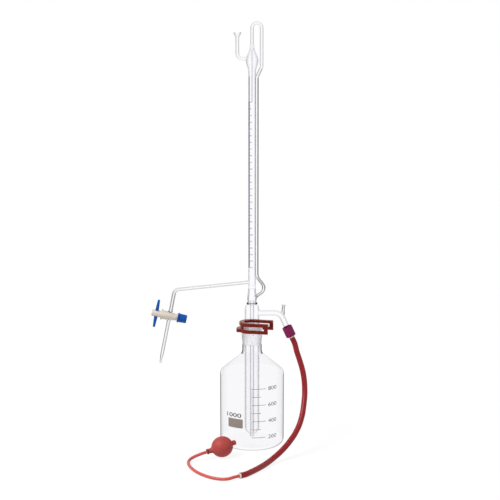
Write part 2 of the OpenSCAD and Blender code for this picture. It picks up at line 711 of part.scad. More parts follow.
module vent_cup() color("lightcyan", 0.4) {
    difference() {
        vent_run(vent_od, lap);
        vent_run(vent_bore, cut);
        tube_space();
    }
    translate([-vent_reach, 0, overflow_z + vent_rise + vent_h - cup_h]) rotate_extrude() polygon(concat(
        [[vent_bore / 2, 0]],
        sweep_in(vent_od / 2, 0, cup_od / 2, cup_h),
        [for (p = [curve_steps:-1:1]) let (t = p / curve_steps)
            [vent_bore / 2 + (cup_od / 2 - cup_wall - vent_bore / 2) * (1 - cos(180 * t)) / 2, cup_h * t]]));
}

// The barrel's outside, which arm and jet meet
module barrel_form() at_key() translate([0, 0, -barrel_left])
    cylinder(h = barrel_left + barrel_right, d = barrel_od);

module arm_run(d, extra) at_arm() run([
    [arm_reach / cos(arm_slope) - arm_corner_cut], [arm_bend_r, -arm_turn],
    [arm_drop - arm_corner_cut + extra]], d);

module delivery_arm() color("lightcyan", 0.4) difference() {
    arm_run(arm_od, 0);
    arm_run(arm_bore, 0);
    tube_space();
    barrel_form();
}

module stopcock_barrel() color("lightcyan", 0.4) difference() {
    at_key() rotate_extrude() polygon([
        [plug_r(-barrel_left), -barrel_left], [barrel_lip_od / 2, -barrel_left],
        [barrel_lip_od / 2, -barrel_left + barrel_lip_w / 2], [barrel_od / 2, -barrel_left + barrel_lip_w],
        [barrel_od / 2, barrel_right], [plug_r(barrel_right), barrel_right]]);
    at_stopcock() cylinder(h = barrel_od + 2 * cut, d = flow_d, center = true);
}

module jet_tube() color("lightcyan", 0.4) difference() {
    at_stopcock() rotate([180, 0, 0]) rotate_extrude() polygon([
        [jet_bore / 2, 0], [jet_root_od / 2, 0], [jet_od / 2, jet_root_len],
        [jet_od / 2, jet_len - jet_tip_len], [jet_tip_od / 2, jet_len],
        [jet_tip_bore / 2, jet_len], [jet_bore / 2, jet_len - jet_tip_len]]);
    barrel_form();
}

// The handle's bar, pressed through the key's head
module handle_bar() at_stopcock() translate([handle_s, 0, 0])
    cylinder(h = key_head_od, d = handle_bar_d, center = true);

module stopcock_key() color("antiquewhite") difference() {
    at_key() rotate_extrude() polygon([
        [0, -barrel_left - key_head_len], [key_head_od / 2 - key_edge, -barrel_left - key_head_len],
        [key_head_od / 2, -barrel_left - key_head_len + key_edge], [key_head_od / 2, -barrel_left - key_edge],
        [plug_r(-barrel_left) - plug_gap, -barrel_left], [plug_r(barrel_right) - plug_gap, barrel_right],
        [key_thread_d / 2, barrel_right], [key_thread_d / 2, barrel_right + key_thread_len],
        [0, barrel_right + key_thread_len]]);
    at_stopcock() cylinder(h = barrel_od, d = flow_d, center = true);
    handle_bar();
}

// One wing of the handle: a wedge in front view and in side view
module wing() intersection() {
    rotate([90, 0, 0]) linear_extrude(wing_depth, center = true) polygon([
        [-wing_w / 2, 0], [wing_w / 2, 0],
        [wing_tip_w / 2, handle_span / 2], [-wing_tip_w / 2, handle_span / 2]]);
    rotate([90, 0, 90]) linear_extrude(wing_w, center = true) polygon(concat(
        [[-wing_depth / 2, 0], [wing_depth / 2, 0]],
        arc(0, handle_span / 2 - wing_tip_depth / 2, wing_tip_depth / 2, 0, 180)));
}

module key_handle() color("royalblue") {
    handle_bar();
    difference() {
        at_stopcock() translate([handle_s, 0, 0]) for (side = [0, 180]) rotate([0, side, 0]) wing();
        at_key() translate([0, 0, -barrel_left - key_head_len - cut])
            cylinder(h = key_head_len + 2 * cut, d = key_head_od);
    }
}

module thrust_washer() color("white") at_key() translate([0, 0, washer_s]) difference() {
    cylinder(h = washer_t, d = washer_od);
    translate([0, 0, -cut]) cylinder(h = washer_t + 2 * cut, d = key_thread_d + 2 * thread_gap);
}

module key_o_ring() color("dimgray") at_key() translate([0, 0, nut_s + o_ring_t / 2]) rotate_extrude()
    translate([o_ring_r, 0]) circle(d = o_ring_t);

module tension_nut() color("royalblue") at_key() translate([0, 0, nut_s]) rotate_extrude() polygon([
    [o_ring_r + o_ring_t / 2 + face_gap, 0], [nut_flange_od / 2, 0], [nut_flange_od / 2, nut_flange_w],
    [nut_od / 2, nut_flange_w], [nut_end_od / 2, nut_len], [key_thread_d / 2 + thread_gap, nut_len],
    [key_thread_d / 2 + thread_gap, o_ring_t + face_gap],
    [o_ring_r + o_ring_t / 2 + face_gap, o_ring_t + face_gap]]);

// The side arm's outside, which the vent spigot meets
module side_form() {
    at_side() run([[side_reach - side_corner_cut], [side_bend_r, side_turn],
        [flare_t - side_corner_cut]], side_od);
    at_side_end() rotate_extrude() polygon([
        [0, flare_t - lap], [(side_od + lap) / 2, flare_t - lap], [(side_od + lap) / 2, flare_t + lap],
        [thread_d / 2, thread_t], [thread_d / 2, glass_end_t], [0, glass_end_t]]);
}

module side_arm() color("lightcyan", 0.4) difference() {
    side_form();
    at_side() run([[side_reach - side_corner_cut], [side_bend_r, side_turn],
        [glass_end_t + cut - side_corner_cut]], side_bore);
    translate([0, 0, joint_top_z]) cylinder(h = head_h + side_od / 2, r = jacket_in_r);
    at_spigot() cylinder(h = side_od, d = spigot_bore, center = true);
}

module vent_spigot() color("lightcyan", 0.4) difference() {
    at_spigot() union() {
        translate([0, 0, -side_od]) cylinder(h = spigot_h + side_od - spigot_lip_h, d = spigot_od);
        translate([0, 0, spigot_h - spigot_lip_h])
            cylinder(h = spigot_lip_h, d1 = spigot_od, d2 = spigot_lip_od);
    }
    at_spigot() translate([0, 0, -side_od - cut]) cylinder(h = spigot_h + side_od + 2 * cut, d = spigot_bore);
    side_form();
}

module hose_gasket() color("salmon") at_side_end() translate([0, 0, glass_end_t]) difference() {
    cylinder(h = gasket_t, d = flange_od);
    translate([0, 0, -cut]) cylinder(h = gasket_t + 2 * cut, d = side_bore);
}

module hose_nipple() color("whitesmoke") at_side_end() difference() {
    union() {
        translate([0, 0, glass_end_t + gasket_t]) cylinder(h = nipple_flange_t, d = flange_od);
        translate([0, 0, nipple_flange_end_t])
            cylinder(h = hose_start_t - nipple_flange_end_t, d = nipple_od);
        translate([0, 0, hose_start_t]) cylinder(h = nipple_tail_len, d = nipple_tail_od);
    }
    translate([0, 0, glass_end_t]) cylinder(h = hose_start_t + nipple_tail_len, d = nipple_bore);
}

// The bush backs off with the cap, along the nipple's neck
module cap_bush() color("whitesmoke") at_side_end() difference() {
    union() {
        translate([0, 0, bush_t]) cylinder(h = bush_flange_t, d = flange_od);
        translate([0, 0, bush_t]) cylinder(h = bush_end_t - bush_t, d = bush_od);
    }
    translate([0, 0, bush_t - cut]) cylinder(h = bush_end_t - bush_t + 2 * cut, d = nipple_od + 2 * cap_gap);
}

module screw_cap() color("purple") at_side_end() difference() {
    translate([0, 0, side_drop]) cylinder(h = cap_end_face_t - side_drop, d = cap_od);
    translate([0, 0, side_drop - cut]) cylinder(h = cap_lip_t - side_drop + cut, d = thread_d + 2 * cap_gap);
    translate([0, 0, cap_lip_t - cut]) cylinder(h = cap_end_t + 2 * cut, d = bush_od + 2 * cap_gap);
}

// A slot of the clip, open to +X
module clip_slot(half) {
    circle(r = half);
    translate([0, -half]) square([clip_reach + cut, 2 * half]);
}

// A plate of the clip, before its slot is cut
module clip_plate(ledge) {
    circle(r = clip_out + ledge);
    translate([0, -clip_out]) square([clip_reach, 2 * clip_out]);
}

// Two plates above and below the joint, tied by a wall at the closed side and a column at each arm's end
module joint_clip() color("firebrick") rotate([0, 0, -clip_turn]) {
    translate([0, 0, clip_low_z]) linear_extrude(clip_low_t) difference() {
        union() {
            clip_plate(clip_top_ledge);
            intersection() {
                circle(r = clip_out + clip_low_ledge);
                translate([-clip_out - clip_low_ledge, -clip_tab_half])
                    square([clip_out + clip_low_ledge, 2 * clip_tab_half]);
            }
        }
        clip_slot(clip_low_half);
    }
    translate([0, 0, clip_low_z + clip_low_t]) {
        rotate([0, 0, 180 - clip_wall_half]) rotate_extrude(angle = 2 * clip_wall_half)
            translate([clip_rim_half, 0]) square([clip_wall, rim_h + 2 * clip_gap]);
        for (side = [-1, 1]) translate([clip_reach - clip_column, side > 0 ? clip_rim_half : -clip_out, 0])
            cube([clip_column, clip_wall, rim_h + 2 * clip_gap]);
    }
    difference() {
        translate([0, 0, clip_top_z - clip_top_t]) linear_extrude(clip_top_t) difference() {
            clip_plate(clip_top_ledge);
            clip_slot(clip_top_half);
        }
        translate([0, 0, clip_top_z - clip_top_t]) {
            cylinder(h = clip_seat_h, r1 = clip_seat_half, r2 = clip_top_half);
            rotate([90, 0, 90]) linear_extrude(clip_reach + cut) polygon([
                [-clip_seat_half, 0], [clip_seat_half, 0],
                [clip_top_half, clip_seat_h], [-clip_top_half, clip_seat_h]]);
        }
    }
}

module pressure_hose() color("firebrick") cord(PRESSURE_ROUTE, hose_od, hose_sides);
module bulb_hose() color("indianred") cord(BULB_ROUTE, bulb_hose_od, bulb_hose_sides);

module hose_reducer() color("whitesmoke") at_reducer() difference() {
    union() {
        cylinder(h = reducer_len, d = reducer_od);
        translate([0, 0, -tail_len]) cylinder(h = tail_len, d = reducer_tail_od);
        translate([0, 0, reducer_len]) cylinder(h = tail_len, d = small_tail_od);
    }
    translate([0, 0, -tail_len - cut]) cylinder(h = reducer_len + 2 * tail_len + 2 * cut, d = air_bore);
}

// An ellipsoid of the squeeze bulb's shape, a little larger or smaller than it
module squeeze_form(extra) at_squeeze() rotate_extrude() polygon([for (i = [-2 * curve_steps:2 * curve_steps])
    let (a = 45 * i / curve_steps) [(squeeze_b + extra) * cos(a), (squeeze_a + extra) * sin(a)]]);

module squeeze_bulb() color("indianred") difference() {
    union() {
        squeeze_form(0);
        at_squeeze() translate([0, 0, outlet_z]) cylinder(h = -outlet_z, d = squeeze_neck_od);
    }
    squeeze_form(-squeeze_wall);
    at_squeeze() translate([0, 0, outlet_z - cut]) cylinder(h = cut - outlet_z, d = stub_od);
    at_squeeze() cylinder(h = squeeze_a + cut, d = stub_od + 2 * soft_gap);
}

module outlet_valve_body() color("sienna") at_squeeze() difference() {
    union() {
        translate([0, 0, outlet_z - valve_len]) cylinder(h = valve_len, d = outlet_od);
        translate([0, 0, outlet_z]) cylinder(h = squeeze_neck_len + stub_len, d = stub_od);
        translate([0, 0, outlet_z - valve_len - tail_len]) cylinder(h = tail_len, d = small_tail_od);
    }
    translate([0, 0, outlet_z - cage_end_t - cage_len]) cylinder(h = cage_len, r = cage_r);
    translate([0, 0, outlet_z - valve_len - tail_len - cut])
        cylinder(h = valve_len + tail_len + squeeze_neck_len + stub_len + 2 * cut, d = air_bore);
}

module outlet_valve_ball() color("dimgray") at_squeeze()
    translate([0, 0, outlet_z - cage_end_t - ball_gap - ball_d / 2]) sphere(d = ball_d);

module intake_valve_body() color("sienna") difference() {
    union() {
        at_squeeze() translate([0, 0, intake_z - stub_len]) cylinder(h = stub_len + cage_end_t, d = stub_od);
        difference() {
            at_squeeze() translate([0, 0, intake_z - stub_len])
                cylinder(h = stub_len + valve_len, d = intake_od);
            squeeze_form(soft_gap);
        }
    }
    at_squeeze() translate([0, 0, intake_z + cage_end_t]) cylinder(h = cage_len, r = cage_r);
    at_squeeze() translate([0, 0, intake_z - stub_len - cut])
        cylinder(h = valve_len + stub_len + 2 * cut, d = air_bore);
}

module intake_valve_ball() color("dimgray") at_squeeze()
    translate([0, 0, intake_z + cage_end_t + cage_len - ball_gap - ball_d / 2]) sphere(d = ball_d);

reservoir_bottle();
head_jacket();
dip_tube();
stem();
burette_tube();
zero_tip();
supply_tube();
vent_cup();
delivery_arm();
stopcock_barrel();
jet_tube();
stopcock_key();
key_handle();
thrust_washer();
key_o_ring();
tension_nut();
side_arm();
vent_spigot();
hose_gasket();
hose_nipple();
cap_bush();
screw_cap();
joint_clip();
pressure_hose();
hose_reducer();
bulb_hose();
outlet_valve_body();
outlet_valve_ball();
squeeze_bulb();
intake_valve_body();
intake_valve_ball();
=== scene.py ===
import json
import math

import bpy
from mathutils import Matrix, Vector


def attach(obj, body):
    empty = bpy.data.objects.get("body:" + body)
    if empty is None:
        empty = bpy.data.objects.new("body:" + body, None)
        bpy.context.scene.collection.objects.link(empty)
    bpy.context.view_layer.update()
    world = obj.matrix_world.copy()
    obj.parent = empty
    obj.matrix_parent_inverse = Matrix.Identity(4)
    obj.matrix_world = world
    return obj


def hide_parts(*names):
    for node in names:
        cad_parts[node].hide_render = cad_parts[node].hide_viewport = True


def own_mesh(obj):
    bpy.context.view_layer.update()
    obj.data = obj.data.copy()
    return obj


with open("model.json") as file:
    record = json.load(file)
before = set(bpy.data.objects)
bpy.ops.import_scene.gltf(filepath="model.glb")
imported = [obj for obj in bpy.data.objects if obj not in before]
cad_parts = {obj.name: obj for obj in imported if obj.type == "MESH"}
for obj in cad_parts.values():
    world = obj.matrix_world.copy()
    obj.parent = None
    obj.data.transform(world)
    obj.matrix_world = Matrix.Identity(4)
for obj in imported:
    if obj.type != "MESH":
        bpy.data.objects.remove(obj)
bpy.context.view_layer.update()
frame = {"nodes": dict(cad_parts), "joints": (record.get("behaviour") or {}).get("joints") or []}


# The studio: a plain white sweep, and a camera two metres in front, a little above the burette's middle.
# A large, soft lamp at the upper left, a weaker one at the right and pale surroundings light it evenly.
# Clear glass sees the same white all round, so that it looks as clean from every side.
camera_place = (-0.00327, -2.036, 0.63994)
camera_down = 8.9
camera_lens = 92.16
camera_sensor = 36
glass_bounces = 40
gloss_bounces = 12
room_light = 0.33
lamp_target = Vector((0, 0, 0.25))
key_place = (-1.2, -0.9, 2.2)
key_power = 2.4
key_spread = 25
fill_place = (1.6, -1.3, 0.9)
fill_power = 3
fill_size = 0.9
floor_size = 40
floor_drop = 0.0004
floor_share = 0.85
floor_glow = 1.055


def paint(code):
    """The linear colour of an sRGB hex value."""
    parts = [int(code[i:i + 2], 16) / 255 for i in (1, 3, 5)]
    return [*(p / 12.92 if p <= 0.04045 else ((p + 0.055) / 1.055) ** 2.4 for p in parts), 1]


def add(tree, kind, inputs=(), **fields):
    """Adds a node with its fields, and sets or links its inputs."""
    made = tree.nodes.new(kind)
    for name, value in fields.items():
        setattr(made, name, value)
    for name, value in dict(inputs).items():
        if isinstance(value, bpy.types.NodeSocket):
            tree.links.new(value, made.inputs[name])
        else:
            made.inputs[name].default_value = value
    return made


def seen(tree):
    """One where the camera looks, also by way of gloss and glass, and nought for light on the object."""
    ray = add(tree, "ShaderNodeLightPath")
    bent_ray = add(tree, "ShaderNodeMath", {
        0: ray.outputs["Is Glossy Ray"], 1: ray.outputs["Is Transmission Ray"]}, operation="MAXIMUM")
    any_ray = add(tree, "ShaderNodeMath", {
        0: ray.outputs["Is Camera Ray"], 1: bent_ray.outputs[0]}, operation="MAXIMUM")
    return any_ray.outputs[0]


scene = bpy.context.scene
scene.view_settings.view_transform = "Standard"
scene.cycles.max_bounces = glass_bounces
scene.cycles.transmission_bounces = glass_bounces
scene.cycles.glossy_bounces = gloss_bounces
scene.cycles.transparent_max_bounces = glass_bounces
bpy.ops.object.camera_add(location=camera_place, rotation=(math.radians(90 - camera_down), 0, 0))
camera = bpy.context.object
camera.data.sensor_width = camera_sensor
camera.data.lens = camera_lens
scene.camera = camera

world = bpy.data.worlds.new("white_studio")
scene.world = world
world.use_nodes = True
tree = world.node_tree
tree.nodes.clear()
white = add(tree, "ShaderNodeMix", {"Factor": seen(tree), "A": room_light, "B": 1.0})
sky = add(tree, "ShaderNodeBackground", {"Color": white.outputs["Result"]})
add(tree, "ShaderNodeOutputWorld", {"Surface": sky.outputs["Background"]})

for kind, name, place, power in (
        ("SUN", "key_lamp", key_place, key_power),
        ("AREA", "fill_lamp", fill_place, fill_power)):
    bpy.ops.object.light_add(type=kind, location=place)
    lamp = bpy.context.object
    lamp.name = name
    lamp.data.energy = power
    lamp.rotation_euler = (lamp_target - Vector(place)).to_track_quat("-Z", "Y").to_euler()
    if kind == "SUN":
        lamp.data.angle = math.radians(key_spread)
    else:
        lamp.data.size = fill_size

# White paper: matt, it takes the object's shadow, and it goes to plain white where the camera looks.
bpy.ops.mesh.primitive_plane_add(size=floor_size, location=(0, 0, -floor_drop))
floor = bpy.context.object
floor.name = "floor"
sweep = bpy.data.materials.new("white_paper_sweep")
sweep.use_nodes = True
tree = sweep.node_tree
tree.nodes.clear()
share = add(tree, "ShaderNodeMath", {0: seen(tree), 1: floor_share}, operation="MULTIPLY")
paper = add(tree, "ShaderNodeBsdfDiffuse", {"Color": paint("#e6e6e6")})
glow = add(tree, "ShaderNodeEmission", {"Color": paint("#ffffff"), "Strength": floor_glow})
both = add(tree, "ShaderNodeMixShader", {
    0: share.outputs[0], 1: paper.outputs["BSDF"], 2: glow.outputs["Emission"]})
add(tree, "ShaderNodeOutputMaterial", {"Surface": both.outputs["Shader"]})
floor.data.materials.append(sweep)


# The pressure hose: thick-walled red rubber tubing, extruded and lightly dusted with talc.
# It is pushed over the nipple below the screw cap, hangs beside the bottle and lies on the bench to its end.
# There a reducer, a small white moulded collar with a tail for each hose, joins it to the thin hose.
joints = {joint["name"]: joint for joint in frame["joints"]}
side_corner = Vector(joints["cap_turn"]["pos_m"])
side_dir = Vector(joints["cap_turn"]["axis"])
hose_d = 0.009
hose_lead = 0.010
hose_from_corner = 0.04535
hose_start = side_corner + hose_from_corner * side_dir
hose_end = Vector((-0.018, -0.180, hose_d / 2))
hose_end_yaw = math.radians(217)
hose_end_dir = Vector((math.cos(hose_end_yaw), math.sin(hose_end_yaw), 0))
hose_route = [
    hose_start, hose_start + hose_lead * side_dir, (0.073, -0.003, 0.154), (0.078, -0.006, 0.139),
    (0.083, -0.011, 0.121), (0.0855, -0.019, 0.097), (0.0835, -0.033, 0.073), (0.0785, -0.049, 0.053),
    (0.0705, -0.063, 0.038), (0.0605, -0.076, 0.0265), (0.0475, -0.090, 0.0155), (0.0335, -0.106, 0.0079),
    (0.0205, -0.127, 0.0049), (0.010, -0.145, 0.0045), (-0.001, -0.162, 0.0045),
    hose_end - hose_lead * hose_end_dir, hose_end]


def hose(name, route, diameter, steps=10, roundness=10):
    """A hose as one open curve through its route."""
    bpy.ops.object.select_all(action="DESELECT")
    bpy.ops.curve.primitive_bezier_curve_add()
    piece = bpy.context.object
    piece.name = name
    line = piece.data
    line.splines.clear()
    spline = line.splines.new("BEZIER")
    spline.bezier_points.add(len(route) - 1)
    for point, place in zip(spline.bezier_points, route):
        point.co = place
        point.handle_left_type = point.handle_right_type = "AUTO"
    line.resolution_u = steps
    line.bevel_depth = diameter / 2
    line.bevel_resolution = roundness
    line.use_fill_caps = True
    line.twist_mode = "MINIMUM"
    return piece


def finish(name, values):
    """A new material whose surface has these plain values."""
    made = bpy.data.materials.new(name)
    made.use_nodes = True
    for socket, value in values.items():
        made.node_tree.nodes["Principled BSDF"].inputs[socket].default_value = value
    return made


def mottle(made, dark, light, patch, grain, depth, strength=0.12):
    """Gives a surface a soft change of colour over patches, and a fine grain, both sized in metres."""
    tree = made.node_tree
    surface = tree.nodes["Principled BSDF"]
    place = add(tree, "ShaderNodeTexCoord").outputs["Object"]
    blotch = add(tree, "ShaderNodeTexNoise", {"Vector": place, "Scale": 1 / patch, "Detail": 4})
    shade = add(tree, "ShaderNodeMix", {
        "Factor": blotch.outputs["Fac"], "A": paint(dark), "B": paint(light)}, data_type="RGBA")
    grit = add(tree, "ShaderNodeTexNoise", {"Vector": place, "Scale": 1 / grain, "Detail": 3})
    skin = add(tree, "ShaderNodeBump", {
        "Height": grit.outputs["Fac"], "Strength": strength, "Distance": depth})
    tree.links.new(shade.outputs["Result"], surface.inputs["Base Color"])
    tree.links.new(skin.outputs["Normal"], surface.inputs["Normal"])


def coat(piece, *finishes):
    """Gives a piece its materials, and no others."""
    piece.data.materials.clear()
    for made in finishes:
        piece.data.materials.append(made)


# Extruded natural rubber: a deep red, a little shiny, with die lines and talc that vary its tone.
hose_rubber = finish("extruded_red_rubber", {"Roughness": 0.36, "Specular IOR Level": 0.25})
mottle(hose_rubber, "#87141a", "#9b1c23", patch=0.016, grain=0.0011, depth=0.0001)
# Moulded polypropylene: milky white, satin, slightly uneven.
white_plastic = finish("moulded_white_polypropylene", {"Roughness": 0.38, "Specular IOR Level": 0.3})
mottle(white_plastic, "#e2dfd6", "#f1efe9", patch=0.004, grain=0.0006, depth=0.00005)

pressure_hose = hose("pressure_hose_rubber", hose_route, hose_d)
coat(pressure_hose, hose_rubber)
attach(pressure_hose, "burette")
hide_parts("pressure_hose")
for name in ("hose_reducer", "hose_nipple"):
    coat(frame["nodes"][name], white_plastic)


# The reservoir bottle: borosilicate glass blown in a mould, with a drawn neck and a slightly raised base.
# Its neck ends in a thick rim and holds a ground socket, whose tapered inside is frosted.
# The socket, shoulder and wall are one turned profile, drawn in millimetres.
MM = 0.001
weld = 0.000001
wall_r = 52
base_x = 42
shoulder_x = 44
shoulder_z = 119
shoulder_turn = 51
fillet_x = 25.7
fillet_z = 156.981
socket_low = 166.281
socket_top = 198.281
# Limits that tell the faces of its parts from each other.
inner_low = 3
inner_high = 20
inner_level = 0.9
inward_lean = 0.2
corner_top = 9
neck_foot = 151.5
socket_bevel = 0.3
socket_r = 14.65


def arc(x, z, radius, start, end, count=10, upright=None):
    """Points of an arc, by centre, radius and angles in degrees. An oval has an upright radius too."""
    angles = [math.radians(start + (end - start) * i / count) for i in range(count + 1)]
    return [(x + radius * math.cos(a), z + (upright or radius) * math.sin(a)) for a in angles]


def swell(r0, z0, r1, z1, count=10):
    """Points of a smooth change of radius between two heights."""
    steps = [i / count for i in range(count + 1)]
    return [(r0 + (r1 - r0) * (1 - math.cos(math.pi * t)) / 2, z0 + (z1 - z0) * t) for t in steps]


def tidy_mesh():
    """Merges doubles, drops loose edges and turns the faces outwards, from edit mode to object mode."""
    bpy.ops.mesh.select_all(action="SELECT")
    bpy.ops.mesh.remove_doubles(threshold=weld)
    bpy.ops.mesh.delete_loose()
    bpy.ops.mesh.select_all(action="SELECT")
    bpy.ops.mesh.normals_make_consistent(inside=False)
    bpy.ops.object.mode_set(mode="OBJECT")


def turned(name, profile, steps=72):
    """Spins a closed profile of radius and height, in millimetres, round the Z axis."""
    bpy.ops.object.select_all(action="DESELECT")
    bpy.ops.mesh.primitive_circle_add(vertices=len(profile), fill_type="NOTHING")
    piece = bpy.context.object
    piece.name = name
    for vertex, (radius, height) in zip(piece.data.vertices, profile):
        vertex.co = (radius * MM, 0, height * MM)
    bpy.ops.object.mode_set(mode="EDIT")
    bpy.ops.mesh.select_all(action="SELECT")
    bpy.ops.mesh.spin(steps=steps, angle=math.tau, center=(0, 0, 0), axis=(0, 0, 1))
    tidy_mesh()
    return piece


def smooth(piece, angle=35):
    """Shades a piece smoothly, with an edge where it turns by more than an angle."""
    bpy.ops.object.select_all(action="DESELECT")
    piece.select_set(True)
    bpy.context.view_layer.objects.active = piece
    bpy.ops.object.shade_smooth_by_angle(angle=math.radians(angle))


def lets_lamps_through(made):
    """Lets light pass a glass surface without a shadow."""
    tree = made.node_tree
    ray = add(tree, "ShaderNodeLightPath")
    through = add(tree, "ShaderNodeBsdfTransparent")
    either = add(tree, "ShaderNodeMixShader", {
        0: ray.outputs["Is Shadow Ray"],
        1: tree.nodes["Principled BSDF"].outputs["BSDF"],
        2: through.outputs["BSDF"]})
    tree.links.new(either.outputs["Shader"], tree.nodes["Material Output"].inputs["Surface"])


def glass(name, painted_edge_shade, edge_from, edge_to, index=1.0, lying_share=0.3, clear="#fdfdfe"):
    """Clear glass with painted shade in its colour: grey where a ray enters it edge on, less where it lies
    flat.
    An index of one stands for a wall too thin to bend the view."""
    made = finish(name, {"Roughness": 0.0, "IOR": index, "Transmission Weight": 1})
    tree = made.node_tree
    # Painted shade: the colour is mixed towards the edge grey where the wall is seen edge on, less where it
    # lies flat.
    facing = add(tree, "ShaderNodeLayerWeight", {"Blend": 0.5})
    painted_rim_shade = add(tree, "ShaderNodeMapRange", {
        "Value": facing.outputs["Facing"], "From Min": edge_from, "From Max": edge_to})
    side = add(tree, "ShaderNodeNewGeometry")
    entered = add(tree, "ShaderNodeMath", {0: 1.0, 1: side.outputs["Backfacing"]}, operation="SUBTRACT")
    tilt = add(tree, "ShaderNodeSeparateXYZ", {"Vector": side.outputs["Normal"]})
    lying = add(tree, "ShaderNodeMath", {0: tilt.outputs["Z"]}, operation="ABSOLUTE")
    upright = add(tree, "ShaderNodeMapRange", {
        "Value": lying.outputs[0], "To Min": 1.0, "To Max": lying_share})
    line = add(tree, "ShaderNodeMath", {
        0: painted_rim_shade.outputs["Result"], 1: entered.outputs[0]}, operation="MULTIPLY")
    share = add(tree, "ShaderNodeMath", {
        0: line.outputs[0], 1: upright.outputs["Result"]}, operation="MULTIPLY")
    shade = add(tree, "ShaderNodeMix", {
        "Factor": share.outputs[0], "A": paint(clear), "B": paint(painted_edge_shade)}, data_type="RGBA")
    tree.links.new(shade.outputs["Result"], tree.nodes["Principled BSDF"].inputs["Base Color"])
    lets_lamps_through(made)
    return made


# Blown borosilicate glass: colourless, with thin dark lines of painted shade where its wall is seen edge on.
bottle_clear = glass("blown_borosilicate_glass", "#06050a", edge_from=0.64, edge_to=0.85, clear="#fbfbfc")
# The inside of the same wall: its painted shade goes only a little greyer towards its edges.
bottle_inside = glass("blown_borosilicate_inside", "#d8d6de", edge_from=0.4, edge_to=1.0, clear="#fbfbfc")
# The thick corner of its base: a wider and softer line of painted shade.
bottle_corner = glass("thick_borosilicate_corner", "#3c3a46", edge_from=0.4, edge_to=0.9, lying_share=1)
# The socket's thick wall: painted shade that blends softly from grey edges to a white middle.
socket_clear = glass("pressed_borosilicate_socket", "#7e7c82", edge_from=0.06, edge_to=0.55, index=1.2,
                     clear="#ffffff")
# The foot of the neck, where the wall thickens into the shoulder: dark lines of painted shade.
neck_clear = glass("drawn_borosilicate_neck", "#0a080e", edge_from=0.32, edge_to=0.62, lying_share=1)
# The same glass ground with grit: white and blurred.
ground = finish("ground_borosilicate_glass", {
    "Base Color": paint("#f9f9fa"), "Roughness": 1.0, "IOR": 1.16, "Transmission Weight": 1})
lets_lamps_through(ground)

bottle = turned("bottle_glass", (
    [(0, 1.5), (16, 1.4), (28, 0.9), (36, 0.2), (40, 0)]
    + arc(base_x, 10, 10, -90, 0)
    + arc(shoulder_x, shoulder_z, 8, 0, shoulder_turn)
    + arc(fillet_x, fillet_z, 10, 180 + shoulder_turn, 180)
    + swell(15.7, socket_low, 16.8, 179.6)
    + [(16.8, 192), (17.1, 192.6), (17.5, 193.2)]
    + arc(16.3, socket_top - 1.2, 1.2, 0, 90, 5)
    + [(15.1, socket_top), (14.6, socket_top - 0.5), (13.0, socket_low)]
    + arc(fillet_x, fillet_z, 12.7, 180, 180 + shoulder_turn)
    + arc(shoulder_x, shoulder_z, 5.3, shoulder_turn, 0)
    + arc(base_x, 11.3, 7.3, 0, -90)
    + [(36, 4.1), (28, 4.7), (16, 5.2), (0, 5.3)]), steps=128)
bottle_glasses = [bottle_clear, ground, bottle_inside, bottle_corner, socket_clear, neck_clear]
coat(bottle, *bottle_glasses)
# Each region of the wall gets its glass, and with it how much painted shade its edges get.
for face in bottle.data.polygons:
    x, y, z = (value / MM for value in face.center)
    reach = math.hypot(x, y)
    faces_inward = face.normal.x * x + face.normal.y * y < -inward_lean * reach
    is_inner_base = inner_low < z < inner_high and face.normal.z > inner_level
    made = bottle_clear
    if socket_low < z < socket_top - socket_bevel and reach < socket_r:
        made = ground
    elif faces_inward or is_inner_base:
        made = bottle_inside
    elif z < corner_top:
        made = bottle_corner
    elif z > socket_low:
        made = socket_clear
    elif z > neck_foot:
        made = neck_clear
    face.material_index = bottle_glasses.index(made)
smooth(bottle)
bottle.visible_diffuse = False
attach(bottle, "bottle")
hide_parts("reservoir_bottle")


# The bottle's scale: grey-brown ceramic ink, screen-printed and fired on the front of the wall.
# Lines mark each 100 ml from 200 to 800, with a number at every second one.
# Beside them stand a plain capacity and a matt patch to write on.
print_lift = 0.05
print_film = 0.04
strips_per_radian = 16
first_mark = 200
mark_step = 100
mark_count = 7
first_line = 23.8
line_pitch = 13.36
line_thick = 0.7
long_line = 22.7
short_line = 14.5
upright_thick = 0.4
number_left = 27.2
number_drop = 3.0
number_size = (16.8, 6.2)
capacity_box = (-45.6, 56.0, 28.1, 6.9)
capacity_weight = 0.014
patch_left = -42.6
patch_low = 38.6
patch_width = 27.6
patch_height = 15.0
patch_shape = 1.65
patch_corner = 0.12


def roll(piece, radius):
    """Rolls a flat print, drawn in XZ, round the Z axis with its middle towards -Y, and thickens it."""
    for vertex in piece.data.vertices:
        turn = vertex.co.x / (radius * MM)
        reach = (radius + print_lift) * MM
        vertex.co = (reach * math.sin(turn), -reach * math.cos(turn), vertex.co.z)
    film = piece.modifiers.new("film", "SOLIDIFY")
    film.thickness = print_film * MM
    film.offset = 1
    bpy.ops.object.modifier_apply(modifier=film.name)


def into_box(piece, left, low, width, height):
    """Fits a flat shape drawn in XY to a box in XZ, in millimetres."""
    across = [vertex.co.x for vertex in piece.data.vertices]
    upward = [vertex.co.y for vertex in piece.data.vertices]
    for vertex in piece.data.vertices:
        x = (vertex.co.x - min(across)) / (max(across) - min(across))
        z = (vertex.co.y - min(upward)) / (max(upward) - min(upward))
        vertex.co = ((left + width * x) * MM, 0, (low + height * z) * MM)


def cut_strips(left, width, radius):
    """Cuts the flat shape in hand into upright strips, fine enough to roll."""
    bpy.ops.object.mode_set(mode="EDIT")
    strips = max(4, round(width / radius * strips_per_radian))
    for i in range(1, strips):
        bpy.ops.mesh.select_all(action="SELECT")
        bpy.ops.mesh.bisect(plane_co=((left + width * i / strips) * MM, 0, 0), plane_no=(1, 0, 0))
    tidy_mesh()


